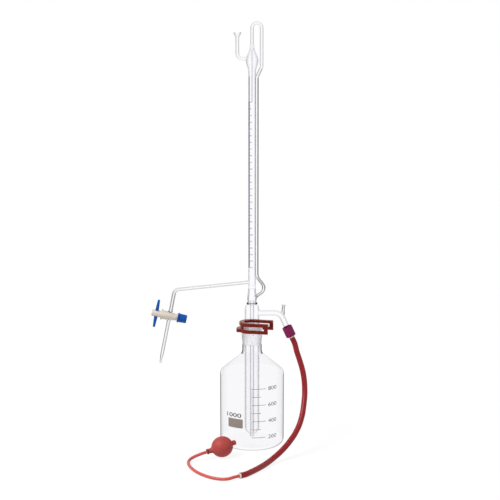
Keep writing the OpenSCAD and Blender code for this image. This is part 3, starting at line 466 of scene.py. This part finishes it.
def number(name, words, left, low, width, height, radius, weight=0):
    """A number set in flat type of some weight, cut into strips and rolled onto the wall."""
    bpy.ops.object.select_all(action="DESELECT")
    bpy.ops.object.text_add()
    piece = bpy.context.object
    piece.name = name
    piece.data.body = words
    piece.data.offset = weight
    bpy.ops.object.convert(target="MESH")
    into_box(piece, left, low, width, height)
    cut_strips(left, width, radius)
    roll(piece, radius)
    return piece


def bar(name, left, low, width, height, radius):
    """A printed line, as a strip rolled onto the wall."""
    bpy.ops.object.select_all(action="DESELECT")
    strips = max(2, round(width / radius * strips_per_radian))
    bpy.ops.mesh.primitive_grid_add(x_subdivisions=strips, y_subdivisions=1)
    piece = bpy.context.object
    piece.name = name
    into_box(piece, left, low, width, height)
    roll(piece, radius)
    return piece


def joined(name, pieces):
    """Joins pieces into one."""
    bpy.ops.object.select_all(action="DESELECT")
    for piece in pieces:
        piece.select_set(True)
    bpy.context.view_layer.objects.active = pieces[0]
    bpy.ops.object.join()
    pieces[0].name = name
    return pieces[0]


# Fired ceramic ink: a matt grey-brown, a little thin in places.
bottle_ink = finish("fired_brown_ceramic_ink", {"Roughness": 0.6, "Specular IOR Level": 0.2})
mottle(bottle_ink, "#5a534d", "#726b64", patch=0.003, grain=0.0008, depth=0.00002)
# The same ink in a wide even layer: paler.
patch_ink = finish("fired_brown_ceramic_patch", {"Roughness": 0.7, "Specular IOR Level": 0.2})
mottle(patch_ink, "#8c837d", "#9f968f", patch=0.003, grain=0.0008, depth=0.00002)

prints = []
for step in range(mark_count):
    z = first_line + line_pitch * step
    has_number = step % 2 == 0
    length = long_line if has_number else short_line
    prints.append(bar("line", 0, z - line_thick / 2, length, line_thick, wall_r))
    if has_number:
        words = str(first_mark + mark_step * step)
        prints.append(number("number", words, number_left, z - number_drop, *number_size, wall_r))
scale_height = (mark_count - 1) * line_pitch
prints.append(bar("upright", -upright_thick / 2, first_line, upright_thick, scale_height, wall_r))
prints.append(number("capacity", "1000", *capacity_box, wall_r, weight=capacity_weight))
bottle_print = joined("bottle_scale_print", prints)
coat(bottle_print, bottle_ink)
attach(bottle_print, "bottle")

bpy.ops.object.select_all(action="DESELECT")
bpy.ops.mesh.primitive_plane_add(size=2)
patch = bpy.context.object
patch.name = "bottle_patch_print"
patch.scale = (patch_shape, 1, 1)
bpy.ops.object.transform_apply(location=True, rotation=True, scale=True)
bpy.ops.object.mode_set(mode="EDIT")
bpy.ops.mesh.select_all(action="SELECT")
bpy.ops.mesh.bevel(offset=patch_corner, segments=4, affect="VERTICES")
bpy.ops.object.mode_set(mode="OBJECT")
into_box(patch, patch_left, patch_low, patch_width, patch_height)
cut_strips(patch_left, patch_width, wall_r)
roll(patch, wall_r)
coat(patch, patch_ink)
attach(patch, "bottle")


# The burette: one piece of lampworked borosilicate glass, from its jacket inside the bottle to the top bend.
# Head, stem, graduated tube, overflow bulb, zero tip, supply tube, vent cup, arms, stopcock barrel and jet
# are separate tubes fused at the flame, with small flares at the seams.
head_top = 232.481
dome_z = head_top - 9.5
ring_top = head_top + 2.8
stem_z = head_top + 8
foot = 258.681
tube_top = 604.781
bulb_z = 622.781
zero_end = 558.2
supply_end = 640.781
arm_z = 269.081
side_z = 217.881
air_hole_z = 149.281
jacket_end = 26.8
jacket_r = 11.8
jacket_bore_r = 10.4
dip_r = 3.2
dip_bore_r = 2.1
tube_r = 6.2
past_end = 600
vent_reach = 15.2
vent_bend = 8
vent_rise = 23.3
vent_mouth = 9.7
arm_reach = 119.09
arm_bend = 9
arm_turn = 72.5
arm_drop = 37.401
jet_straight = 62
jet_tip = 17.6
side_reach = 36.18
side_bend = 15
side_turn = 64.8
side_tail = 25.48
side_plain = 15.98
stopcock_at = Vector(joints["stopcock_turn"]["pos_m"])
# Limits that tell the faces of its tubes from each other.
dip_most = 3.4
jacket_most = 11.9
cone_least = 12.8
cone_most = 14.7
ring_least = 7
supply_least = 3
supply_most = 7.6
vent_least = 11
bend_low = bulb_z + 25


def bent(steps, bend_step=6):
    """Points of a tube's middle line from +Z.
    A step is (length,) or (radius, turn towards +X, angle of its plane)."""
    place = Matrix.Identity(4)
    points = [(0, 0, 0)]
    for step in steps:
        if len(step) == 1:
            place = place @ Matrix.Translation((0, 0, step[0]))
            points.append(place.translation)
            continue
        radius, turn, plane = (*step, 0)[:3]
        side = math.radians(plane + (180 if turn < 0 else 0))
        swing = place @ Matrix.Rotation(side, 4, "Z")
        count = max(4, round(abs(turn) / bend_step))
        for i in range(1, count + 1):
            angle = math.radians(abs(turn)) * i / count
            place = swing @ Matrix.Translation((radius * (1 - math.cos(angle)), 0, radius * math.sin(angle)))
            points.append(place.translation)
        place = place @ Matrix.Rotation(angle, 4, "Y") @ Matrix.Rotation(-side, 4, "Z")
    return points


def past(points):
    """The same points and one more, a millimetre past their end."""
    return [*points, Vector(points[-1]) + (Vector(points[-1]) - Vector(points[-2])).normalized()]


def drawn(name, points, widths, start=0, sides=32, apart=0.01, slack=0.001):
    """A solid tube along points in millimetres. Widths are pairs of distance and radius along it."""
    line = [Vector(points[0])]
    far = [0]
    for a, b in zip(points, points[1:]):
        span = (Vector(b) - Vector(a)).length
        marks = [d for d, _ in [(start, 0), *widths] if far[-1] + apart < d < far[-1] + span - apart]
        base = far[-1]
        for d in sorted(set(marks)) + [base + span]:
            line.append(Vector(a).lerp(Vector(b), (d - base) / span))
            far.append(d)
    bpy.ops.object.select_all(action="DESELECT")
    bpy.ops.curve.primitive_bezier_curve_add()
    piece = bpy.context.object
    piece.name = name
    piece.data.splines.clear()
    spline = piece.data.splines.new("POLY")
    kept = [(p, d) for p, d in zip(line, far) if d >= start - slack]
    spline.points.add(len(kept) - 1)
    for point, (place, d) in zip(spline.points, kept):
        point.co = (*(place * MM), 1)
        before = [w for w in widths if w[0] <= d + slack] or [widths[0]]
        after = [w for w in widths if w[0] >= d - slack] or [widths[-1]]
        (d0, r0), (d1, r1) = before[-1], after[0]
        point.radius = r0 if d1 <= d0 else r0 + (r1 - r0) * (d - d0) / (d1 - d0)
    piece.data.bevel_depth = MM
    piece.data.bevel_resolution = sides // 2 - 2
    piece.data.use_fill_caps = True
    piece.data.twist_mode = "MINIMUM"
    bpy.ops.object.convert(target="MESH")
    bpy.ops.object.mode_set(mode="EDIT")
    tidy_mesh()
    return piece


def even(radius):
    """The widths of an even tube."""
    return [(0, radius), (past_end, radius)]


def opening(start, r0, r1, length):
    """The widths of a tube's end that swells or narrows from a distance on."""
    return [(start + z, r) for r, z in swell(r0, 0, r1, length, 8)[1:]]


def put(piece, place):
    """Puts a piece in its place and applies it."""
    piece.matrix_world = place
    bpy.ops.object.select_all(action="DESELECT")
    piece.select_set(True)
    bpy.context.view_layer.objects.active = piece
    bpy.ops.object.transform_apply(location=True, rotation=True, scale=True)
    return piece


def place_at(x, z, tilt, turn=0):
    """A place on the burette's own plane, tilted from +Z towards +X, then turned round the Z axis."""
    return (Matrix.Rotation(math.radians(turn), 4, "Z") @ Matrix.Translation((x * MM, 0, z * MM))
            @ Matrix.Rotation(math.radians(tilt), 4, "Y"))


def shape(piece, tool, operation):
    """Fuses a tool to a piece, or cuts it away."""
    cut = piece.modifiers.new(operation.lower(), "BOOLEAN")
    cut.object = tool
    cut.operation = operation
    cut.solver = "MANIFOLD"
    bpy.context.view_layer.objects.active = piece
    bpy.ops.object.modifier_apply(modifier=cut.name)
    bpy.data.objects.remove(tool)


at_axis = Matrix.Identity(4)
at_supply = place_at(0, stem_z, tilt=65.5, turn=37)
at_vent = place_at(0, bulb_z + 2.8, tilt=-90)
at_arm = place_at(0, arm_z, tilt=-96)
at_stopcock = Matrix.Translation(stopcock_at) @ Matrix.Rotation(math.radians(11.5), 4, "Y")
at_key = at_stopcock @ Matrix.Rotation(math.radians(90), 4, "Y")
at_side = place_at(0, side_z, tilt=90)
at_side_end = place_at(45.7, side_z, tilt=154.8)
at_spigot = place_at(50, side_z, tilt=6.7)
at_air_hole = place_at(0, air_hole_z, tilt=90)

supply_line = bent([(20.7,), (8.5, -106), (12.783,), (17, 40.5), (311.701,), (8, 26, -49.09), (13.946,),
                    (8, -26, -49.09), (59.152,), (7.8, -180, -22), (32.7,)])
vent_line = bent([(vent_reach,), (vent_bend, 90), (vent_rise,), (vent_mouth,)])
vent_straight = vent_reach + vent_bend * math.pi / 2 + vent_rise
arm_line = bent([(arm_reach,), (arm_bend, -arm_turn), (arm_drop,)])
arm_end = arm_reach + arm_bend * math.radians(arm_turn) + arm_drop
jet_line = [(0, 0, 0), (0, 0, -79.6)]
side_line = bent([(side_reach,), (side_bend, side_turn), (side_tail,)])
side_flare = side_reach + side_bend * math.radians(side_turn) + side_plain
spigot_line = [(0, 0, -9.1), (0, 0, 13.4)]

# Drawn borosilicate tube: thin walls, with pale grey lines of painted shade a little inside their edges.
tube_clear = glass("drawn_borosilicate_tube", "#b2aeb6", edge_from=0.15, edge_to=0.6)
# Narrow borosilicate tube: thick walls for its bore, with dark lines of painted shade over most of its width.
narrow_clear = glass("narrow_borosilicate_tube", "#08070a", edge_from=0.05, edge_to=0.3)
# The thinner walls of the top bend, the vent, the side arm and the supply's inner side: paler lines of
# painted shade.
pale_clear = glass("thin_borosilicate_tube", "#807e82", edge_from=0.06, edge_to=0.6)
# The stopcock's barrel: its thick wall bends the view and makes the key that fills it look as wide as itself.
# Painted shade greys its edges.
thick_clear = glass("pressed_borosilicate_glass", "#96929a", edge_from=0.75, edge_to=1.0, index=1.473)
# The ring seal between head and stem: fused thick, with painted shade that makes it show as a dark band.
ring_clear = glass("fused_borosilicate_ring", "#0c0a0e", edge_from=0.05, edge_to=0.35, lying_share=1)
# The jacket's wide tube: a thinner and paler line of painted shade.
jacket_clear = glass("wide_borosilicate_tube", "#77737b", edge_from=0.42, edge_to=0.8)
# The dip tube inside it and the stem: a clear middle between two darker lines of painted shade.
dip_clear = glass("dip_borosilicate_tube", "#1c1a20", edge_from=0.2, edge_to=0.7)
# Both tubes inside the ground joint: hidden by its blur, with no lines.
joint_clear = finish("joined_borosilicate_tube", {
    "Base Color": paint("#fdfdfe"), "Roughness": 0.0, "IOR": 1.0, "Transmission Weight": 1})
lets_lamps_through(joint_clear)

burette = turned("burette_glass", (
    [(0, 10.8), (dip_r, 10.8), (dip_r, 15.44)]
    + arc(0, jacket_end, jacket_r, -74.27, 0, 14)
    + [(jacket_r, 165.13), (12.95, socket_low), (14.55, socket_top), (14.3, socket_top + 0.6),
       (jacket_r, 201.03), (jacket_r, dome_z)]
    + arc(8.5, dome_z, 3.3, 0, 90, upright=9.5)[1:]
    + arc(7.7, head_top + 1.2, 1.2, -60, 80, 8)
    + swell(7.1, ring_top, 7.6, stem_z)
    + swell(7.6, stem_z, tube_r, foot)[1:]
    + swell(tube_r, tube_top, 10.2, bulb_z)
    + swell(10.2, bulb_z, 3.9, bulb_z + 22)[1:]
    + [(3.8, bulb_z + 24), (3.4, bulb_z + 25.2), (2.9, bulb_z + 26), (0, bulb_z + 26)]), steps=96)
burette_glasses = [tube_clear, ground, narrow_clear, thick_clear, jacket_clear, pale_clear, ring_clear,
                   dip_clear, joint_clear]
coat(burette, *burette_glasses)


def lampwork(operation, made, place, part):
    """Fuses a part to the burette, or cuts its space out, with its glass on the faces that it leaves."""
    put(part, place)
    kinds = [burette_glasses.index(made)] * len(part.data.polygons)
    part.data.polygons.foreach_set("material_index", kinds)
    shape(burette, part, operation)


lampwork("UNION", narrow_clear, at_supply, drawn("supply", supply_line, [
    (0, 4.4), (7, 3.9), (9, 3.2), (12, 2.9), (past_end, 2.9)]))
lampwork("UNION", pale_clear, at_vent, drawn("vent", vent_line, [
    (0, 3.8), (10, 3.8), (12, 3.2), (14, 3), (vent_straight, 3),
    *opening(vent_straight, 3, 6.3, vent_mouth)]))
lampwork("UNION", narrow_clear, at_arm, drawn("arm", arm_line, [
    (0, 4), (6.2, 3.9), (8, 3.35), (11, 3.1), (arm_end - 11, 3.1), (arm_end - 7.3, 3.8), (arm_end, 4.2)]))
lampwork("UNION", thick_clear, at_key, turned("barrel", [
    (0, -14), (8.6, -14), (9, -13.6), (9, -12.8), (8.7, -12.2), (7.7, -11.2), (7.3, -10.6), (7.3, 11.5),
    (6.8, 12), (0, 12)], 64))
lampwork("UNION", narrow_clear, at_stopcock, drawn("jet", jet_line, [
    (0, 4.6), (7.3, 3.4), (9, 2.95), (10.5, 2.8), (jet_straight, 2.8),
    *opening(jet_straight, 2.8, 1.4, jet_tip)]))
lampwork("UNION", pale_clear, at_side, drawn("side", side_line, [
    (0, 5.7), (11.8, 5.7), (13.5, 5.3), (16.5, 5), (side_flare, 5), (side_flare + 3, 6.95),
    (side_flare + 9.4, 6.95)]))
lampwork("UNION", narrow_clear, at_spigot, drawn("spigot", spigot_line, [
    (0, 2.5), (9, 3.4), (11, 2.9), (13.4, 2.5), (20.4, 2.5), (21.6, 3.4), (22.5, 3.6)], sides=24))

lampwork("DIFFERENCE", tube_clear, at_axis, turned("head_space", (
    [(dip_r, 16.905)]
    + arc(0, jacket_end, jacket_bore_r, -72.08, 0, 14)
    + [(jacket_bore_r, socket_low), (jacket_bore_r, socket_top), (jacket_bore_r, dome_z)]
    + arc(7.1, dome_z, 3.3, 0, 90, upright=8.1)[1:]
    + [(dip_r, head_top - 1.4), (dip_r, socket_top), (dip_r, socket_low)]), 96))
lampwork("DIFFERENCE", narrow_clear, at_axis, turned("dip_bore", [
    (0, 9), (dip_bore_r, 9), (dip_bore_r, socket_low), (dip_bore_r, socket_top), (dip_bore_r, head_top + 6.8),
    (0, head_top + 6.8)], 48))
lampwork("DIFFERENCE", tube_clear, at_axis, turned("stem_space", (
    [(dip_r, head_top + 1), (5.6, head_top + 1)]
    + swell(5.8, head_top + 2.5, 6.3, stem_z)
    + swell(6.3, stem_z, 4.9, foot - 3.2)[1:]
    + [(4.4, foot - 1.6), (3, foot - 0.6), (0, foot - 0.2), (0, head_top + 6), (dip_r, head_top + 6)]), 96))
lampwork("DIFFERENCE", tube_clear, at_axis, turned("tube_space", (
    arc(0, foot + 8, 5.5, -90, 0)
    + swell(5.5, tube_top, 9.2, bulb_z)
    + swell(9.2, bulb_z, 3.4, supply_end + 0.6)[1:]
    + [(3.1, supply_end + 1.1), (2.9, supply_end + 1.1), (2.9, supply_end - 1.25), (1.5, supply_end - 5),
       (1.5, zero_end + 8), (1, zero_end), (0, zero_end)]), 96))
lampwork("DIFFERENCE", narrow_clear, at_axis, turned("zero_bore", [
    (0, zero_end - 1), (0.65, zero_end - 1), (0.65, supply_end - 1), (1.9, supply_end + 1.2),
    (0, supply_end + 1.2)], 24))
lampwork("DIFFERENCE", narrow_clear, at_supply, drawn("supply_bore", supply_line, even(1.9), start=4))
lampwork("DIFFERENCE", pale_clear, at_vent, drawn("vent_bore", past(vent_line), [
    (0, 2), (vent_straight, 2), *opening(vent_straight, 2, 5.3, vent_mouth)], start=7))
lampwork("DIFFERENCE", narrow_clear, at_arm, drawn("arm_bore", arm_line, even(1.8), start=3))
lampwork("DIFFERENCE", thick_clear, at_key, turned("plug_bore", [
    (0, -15), (6.1, -15), (3.3, 13), (0, 13)], 64))
lampwork("DIFFERENCE", pale_clear, at_stopcock, drawn("jet_bore", [(0, 0, 0), (0, 0, -81)], [
    (0, 1.2), (jet_straight, 1.2), (79, 0.6), (81, 0.6)], sides=24))
lampwork("DIFFERENCE", pale_clear, at_side, drawn("side_bore", past(side_line), even(3.7), start=8))
lampwork("DIFFERENCE", narrow_clear, at_spigot, drawn("spigot_bore", [(0, 0, -8), (0, 0, 14.4)], [
    (0, 1.3), (20, 1.3)], sides=24))
lampwork("DIFFERENCE", tube_clear, at_air_hole, drawn("air_hole", [
    (0, 0, 9), (0, 0, 13)], even(2.5), sides=24))
# Each region of the burette gets its glass, and with it how much painted shade its edges get.
for face in burette.data.polygons:
    x, y, z = (value / MM for value in face.center)
    reach = math.hypot(x, y)
    made = burette_glasses[face.material_index]
    is_tube = made == tube_clear
    if socket_low < z < socket_top and reach < cone_most:
        made = ground if reach > cone_least else joint_clear
    elif head_top < z < ring_top and reach > ring_least:
        made = ring_clear
    elif z < head_top and dip_most < reach < jacket_most and is_tube:
        made = jacket_clear
    elif (z < head_top and reach < dip_most) or (head_top < z < foot and is_tube):
        made = dip_clear
    elif foot < z < tube_top and made == narrow_clear and supply_least < x < supply_most:
        made = pale_clear
    elif z > bend_low or (z > tube_top and reach > vent_least):
        made = pale_clear
    face.material_index = burette_glasses.index(made)
smooth(burette, 40)
burette.visible_diffuse = False
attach(burette, "burette")
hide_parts("head_jacket", "dip_tube", "stem", "burette_tube", "zero_tip", "supply_tube", "vent_cup",
            "delivery_arm", "stopcock_barrel", "jet_tube", "side_arm", "vent_spigot")


# The burette's scale: blue-violet ceramic ink, printed and fired on the left of the tube's front.
# There is a line at each 0.1 ml, a longer one at each 0.5 ml, and the longest, with a number, at each 1 ml.
# A plain stripe runs behind the lines.
scale_top = 558.1
scale_ml = 25
ml_pitch = 10.584
stripe_rise = 40
tenth_thick = 0.4
half_thick = 0.5
whole_thick = 0.9
digit_height = 2.5
digit_width = 1.4
one_width = 0.6
digit_gap = 0.3
degree = math.radians(1) * tube_r


def ladder(name, left, width, height, pitch, count):
    """A row of like lines down the tube from the zero mark."""
    piece = bar(name, left, scale_top - height / 2, width, height, tube_r)
    row = piece.modifiers.new("row", "ARRAY")
    row.use_relative_offset = False
    row.use_constant_offset = True
    row.constant_offset_displace = (0, 0, -pitch * MM)
    row.count = count
    bpy.ops.object.modifier_apply(modifier=row.name)
    return piece


# Fired ceramic ink: a matt blue-violet, a little thin in places.
scale_ink = finish("fired_blue_ceramic_ink", {"Roughness": 0.55, "Specular IOR Level": 0.2})
mottle(scale_ink, "#2f2d5e", "#403e72", patch=0.004, grain=0.0008, depth=0.00002)
scale_length = scale_ml * ml_pitch
prints = [
    bar("stripe", -52 * degree, scale_top - scale_length, 12 * degree, scale_length + stripe_rise, tube_r),
    ladder("tenths", -72 * degree, 38 * degree, tenth_thick, ml_pitch / 10, 10 * scale_ml + 1),
    ladder("halves", -34 * degree, 6 * degree, half_thick, ml_pitch / 2, 2 * scale_ml + 1),
    ladder("wholes", -34 * degree, 12 * degree, whole_thick, ml_pitch, scale_ml + 1)]
for mark in range(scale_ml + 1):
    width = sum(one_width if digit == "1" else digit_width for digit in str(mark)) + digit_gap * (mark > 9)
    low = scale_top - ml_pitch * mark - digit_height / 2
    prints.append(number("mark", str(mark), -20 * degree, low, width, digit_height, tube_r))
burette_print = joined("burette_scale_print", prints)
coat(burette_print, scale_ink)
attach(burette_print, "burette")


# The stopcock: a tapered PTFE key in the glass barrel, with a blue moulded handle on its head.
# A PTFE washer, a rubber ring and a blue nut on the key's thread pull the key into its taper.
handle_s = -21.7
wing_start = 3.9
wing_end = 22.8
wing_root = (2.95, 3.15)
wing_tip = (1.8, 2.6)
wing_round = 1.3
nut_steps = 96

# Machined PTFE: waxy cream, satin, with faint turning marks.
ptfe = finish("machined_ptfe", {"Roughness": 0.42, "Specular IOR Level": 0.3})
mottle(ptfe, "#d4c8ba", "#e3d8cb", patch=0.006, grain=0.0004, depth=0.00002)
# Moulded polypropylene: a strong blue, satin.
blue_plastic = finish("moulded_blue_polypropylene", {"Roughness": 0.3, "Specular IOR Level": 0.15})
mottle(blue_plastic, "#0a4c9e", "#165cb4", patch=0.005, grain=0.0005, depth=0.00003)
# Moulded nitrile rubber: black and dull.
black_rubber = finish("moulded_black_nitrile", {"Roughness": 0.55, "Specular IOR Level": 0.3})
mottle(black_rubber, "#16161a", "#26262b", patch=0.003, grain=0.0004, depth=0.00004)

key = put(turned("key_ptfe", [
    (0, -29.3), (3.6, -29.3), (3.9, -29.6), (4.5, -29.6), (5.0, -29.3), (5.3, -28.7), (5.3, -15.4),
    (5.4, -15), (5.9, -14.5), (6.05, -14), (3.45, 12), (2.4, 12), (2.4, 25.2), (2.1, 25.6),
    (0, 25.6)], 72), at_key)
flow_hole = drawn("flow_hole", [(0, 0, -8), (0, 0, 8)], even(1.2), sides=24)
shape(key, put(flow_hole, at_stopcock), "DIFFERENCE")
coat(key, ptfe)
smooth(key)
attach(key, "key")
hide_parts("stopcock_key")

bpy.ops.object.select_all(action="DESELECT")
bpy.ops.mesh.primitive_cube_add(size=2)
wing = bpy.context.object
for vertex in wing.data.vertices:
    is_tip = vertex.co.z > 0
    wide, deep = wing_tip if is_tip else wing_root
    vertex.co = (vertex.co.x * wide * MM, vertex.co.y * deep * MM, (wing_end if is_tip else wing_start) * MM)
bpy.ops.object.mode_set(mode="EDIT")
bpy.ops.mesh.select_all(action="SELECT")
bpy.ops.mesh.subdivide(number_cuts=1)
bpy.ops.object.mode_set(mode="OBJECT")
ends = wing.modifiers.new("ends", "BEVEL")
ends.limit_method = "ANGLE"
ends.angle_limit = math.radians(50)
ends.width = wing_round * MM
ends.segments = 5
bpy.ops.object.modifier_apply(modifier=ends.name)
other = wing.copy()
other.data = wing.data.copy()
bpy.context.collection.objects.link(other)
put(other, Matrix.Rotation(math.pi, 4, "Y"))
middle = turned("bar", [(0, -5), (2.5, -5), (2.5, 5), (0, 5)], 32)
handle = joined("handle_plastic", [wing, other, middle])
put(handle, at_stopcock @ Matrix.Translation((handle_s * MM, 0, 0)))
coat(handle, blue_plastic)
smooth(handle)
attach(handle, "key")
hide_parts("key_handle")
coat(frame["nodes"]["thrust_washer"], ptfe)
coat(frame["nodes"]["key_o_ring"], black_rubber)


def flute(piece, steps, every, low, high, depth, outer_share=0.85):
    """Presses a groove along each of some columns of a turned piece's outside, between two heights."""
    reach = max(math.hypot(v.co.x, v.co.y) for v in piece.data.vertices if low * MM < v.co.z < high * MM)
    for vertex in piece.data.vertices:
        across = math.hypot(vertex.co.x, vertex.co.y)
        column = round(math.atan2(vertex.co.y, vertex.co.x) / math.tau * steps)
        if low * MM < vertex.co.z < high * MM and across > outer_share * reach and column % every == 0:
            vertex.co.x *= 1 - depth * MM / across
            vertex.co.y *= 1 - depth * MM / across


nut = turned("nut_plastic", [
    (4.35, 13.2), (7.5, 13.2), (8.0, 13.6), (8.0, 15.4), (7.7, 15.8), (6.8, 15.9), (6.6, 16.2), (6.8, 16.5),
    (7.1, 16.8), (7.15, 17.2), (6.7, 26.6), (6.5, 27.3), (5.9, 28.1), (5.2, 28.2), (2.45, 28.2), (2.45, 15.1),
    (4.35, 15.1)], nut_steps)
flute(nut, nut_steps, every=4, low=17, high=27, depth=0.25)
put(nut, at_key)
coat(nut, blue_plastic)
smooth(nut)
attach(nut, "nut")
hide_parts("tension_nut")


# The hose connection: a purple screw cap on the side arm's end, which presses a white bush and nipple to it.
# Cap and bush are moulded, and the cap has fine grip ribs along its side.
# A red gasket seals the nipple to the glass.
cap_steps = 144

# Moulded polyester: a deep purple, satin.
purple_plastic = finish("moulded_purple_polyester", {"Roughness": 0.3, "Specular IOR Level": 0.15})
mottle(purple_plastic, "#76124a", "#8c1a56", patch=0.005, grain=0.0005, depth=0.00002)
# Moulded silicone rubber: a dull pale red.
silicone = finish("moulded_red_silicone", {"Roughness": 0.5, "Specular IOR Level": 0.3})
mottle(silicone, "#b3453c", "#c65a4e", patch=0.004, grain=0.0006, depth=0.00004)

cap = turned("cap_plastic", [
    (7.0, 25.1), (7.75, 25.1), (8.05, 25.3), (8.2, 25.7), (8.2, 26.6), (8.05, 26.9), (8.25, 27.3),
    (8.25, 41.0), (8.1, 41.8), (7.6, 42.4), (6.9, 42.6), (5.95, 42.6), (5.95, 40.0), (7.0, 40.0)], cap_steps)
flute(cap, cap_steps, every=4, low=27.1, high=41.5, depth=0.16)
put(cap, at_side_end)
coat(cap, purple_plastic)
smooth(cap)
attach(cap, "cap")
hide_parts("screw_cap")

bush = put(turned("bush_plastic", [
    (3.25, 38.7), (6.3, 38.7), (6.3, 39.9), (5.9, 39.9), (5.9, 43.5), (5.7, 43.85), (5.4, 44.0), (3.6, 44.0),
    (3.25, 43.7)], 72), at_side_end)
coat(bush, white_plastic)
smooth(bush)
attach(bush, "bush")
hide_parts("cap_bush")
coat(frame["nodes"]["hose_gasket"], silicone)


# The joint clip: one moulded piece that snaps round the ground joint and holds cone and socket together.
# Its plates lie above and below the rim, tied by a wall at the closed side and a column at each arm's end.
clip_weld = 0.000002
clip_round = 0.45

# Moulded polyacetal: a dark brownish red with a slight shine.
clip_plastic = finish("moulded_red_polyacetal", {"Roughness": 0.28, "Specular IOR Level": 0.15})
mottle(clip_plastic, "#6c1408", "#801e0c", patch=0.006, grain=0.0006, depth=0.00003)
clip = frame["nodes"]["joint_clip"].copy()
clip.data = clip.data.copy()
clip.name = "clip_plastic"
clip.parent = None
for key_name in list(clip.keys()):
    del clip[key_name]
bpy.context.collection.objects.link(clip)
bpy.ops.object.select_all(action="DESELECT")
clip.select_set(True)
bpy.context.view_layer.objects.active = clip
bpy.ops.object.mode_set(mode="EDIT")
bpy.ops.mesh.select_all(action="SELECT")
bpy.ops.mesh.remove_doubles(threshold=clip_weld)
bpy.ops.mesh.dissolve_limited(angle_limit=math.radians(1))
bpy.ops.object.mode_set(mode="OBJECT")
edges = clip.modifiers.new("edges", "BEVEL")
edges.limit_method = "ANGLE"
edges.angle_limit = math.radians(40)
edges.width = clip_round * MM
edges.segments = 3
bpy.ops.object.modifier_apply(modifier=edges.name)
coat(clip, clip_plastic)
smooth(clip)
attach(clip, "clip")
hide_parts("joint_clip")


# The squeeze bulb: a moulded red rubber bulb that pumps air into the bottle, with a valve at each end.
# Its thin hose runs from the reducer, along the bench in a loop, onto the outlet valve's tail.
squeeze_dir = -Vector(joints["bulb_squeeze"]["axis"])
squeeze_at = Vector((-0.0475, -0.075, 0.016534))
squeeze_yaw = math.radians(25.7)
squeeze_lean = math.radians(79.6)
at_squeeze = (Matrix.Translation(squeeze_at) @ Matrix.Rotation(squeeze_yaw, 4, "Z")
              @ Matrix.Rotation(squeeze_lean, 4, "Y"))
collar_top = -24.9
thin_d = 0.0048
thin_from_hose = 0.002
thin_to_bulb = 0.0267

# Moulded natural rubber: brick red, dull with bloom.
bulb_rubber = finish("moulded_brick_red_rubber", {"Roughness": 0.55, "Specular IOR Level": 0.3})
mottle(bulb_rubber, "#a83d3a", "#b94c47", patch=0.010, grain=0.0009, depth=0.00008)
# The same rubber without bloom: brighter and a little shiny.
nub_rubber = finish("moulded_bright_red_rubber", {"Roughness": 0.4, "Specular IOR Level": 0.3})
mottle(nub_rubber, "#b52a1c", "#cb3a28", patch=0.005, grain=0.0006, depth=0.00005)
# Moulded phenolic: a dark red-brown, a little shiny.
collar_plastic = finish("moulded_brown_phenolic", {"Roughness": 0.35, "Specular IOR Level": 0.3})
mottle(collar_plastic, "#5a1f12", "#74301d", patch=0.004, grain=0.0005, depth=0.00005)
# Extruded natural rubber with much chalk: a pale red, with talc that varies its tone.
thin_rubber = finish("extruded_pale_red_rubber", {"Roughness": 0.42, "Specular IOR Level": 0.3})
mottle(thin_rubber, "#c94c47", "#da645d", patch=0.012, grain=0.0009, depth=0.0001)
# Polished stainless steel: bright grey.
ball_steel = finish("polished_stainless_steel", {"Roughness": 0.2, "Metallic": 1.0})
mottle(ball_steel, "#9d9d9f", "#b5b5b7", patch=0.002, grain=0.0004, depth=0.00001)

bulb = put(turned("bulb_rubber", (
    [(2.8, -20.5), (3.9, -20.5), (4.3, -20.1), (4.3, -19.2), (4.6, -18.2), (5.6, -17.1), (7.0, -15.75)]
    + arc(0, 0, 16.5, -60, 75, 27, upright=17.5)
    + [(3.6, 17.05), (2.95, 16.9), (2.95, 14.6)]
    + arc(0, 0, 14, 75, -75, 30, upright=15)
    + [(2.8, -14.9)]), 96), at_squeeze)
coat(bulb, bulb_rubber)
smooth(bulb, 50)
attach(bulb, "burette")
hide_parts("squeeze_bulb")
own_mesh(bulb)

outlet = put(turned("outlet_valve_plastic", [
    (0.7, -26.7), (3.9, -26.7), (4.4, -26.4), (4.5, -26.0), (4.5, -25.2), (4.2, -24.8), (4.0, -24.2),
    (4.0, -21.4), (4.2, -20.9), (3.9, -20.55), (2.75, -20.55), (2.75, -13.6), (0.7, -13.6)], 64), at_squeeze)
coat(outlet, bulb_rubber, collar_plastic)
to_squeeze = at_squeeze.inverted()
for face in outlet.data.polygons:
    if (to_squeeze @ face.center).z < collar_top * MM:
        face.material_index = 1
smooth(outlet)
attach(outlet, "burette")
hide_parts("outlet_valve_body")

intake = put(turned("intake_valve_rubber", [
    (0.7, 13.6), (2.75, 13.6), (2.75, 17.3), (3.4, 17.5), (3.9, 18.0), (4.0, 18.6), (4.0, 22.7), (3.6, 23.4),
    (3.0, 23.7), (1.3, 23.7), (0.7, 23.3)], 64), at_squeeze)
coat(intake, nub_rubber)
smooth(intake)
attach(intake, "bulb_end")
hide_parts("intake_valve_body")
for name in ("outlet_valve_ball", "intake_valve_ball"):
    coat(frame["nodes"][name], ball_steel)

thin_start = hose_end + thin_from_hose * hose_end_dir
thin_end = squeeze_at - thin_to_bulb * squeeze_dir
thin_route = [
    thin_start, thin_start + hose_lead * hose_end_dir, (-0.035, -0.190, 0.0032), (-0.0435, -0.1903, 0.0025),
    (-0.057, -0.186, 0.0025), (-0.066, -0.1795, 0.0025), (-0.074, -0.1715, 0.0025),
    (-0.0813, -0.1623, 0.0025), (-0.0875, -0.152, 0.0025), (-0.0928, -0.1405, 0.0025),
    (-0.097, -0.128, 0.0025), (-0.0995, -0.112, 0.0026), (-0.097, -0.0995, 0.004),
    (-0.090, -0.0935, 0.0065), thin_end - hose_lead * squeeze_dir, thin_end]
bulb_hose = hose("bulb_hose_rubber", thin_route, thin_d)
coat(bulb_hose, thin_rubber)
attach(bulb_hose, "burette")
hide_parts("bulb_hose")
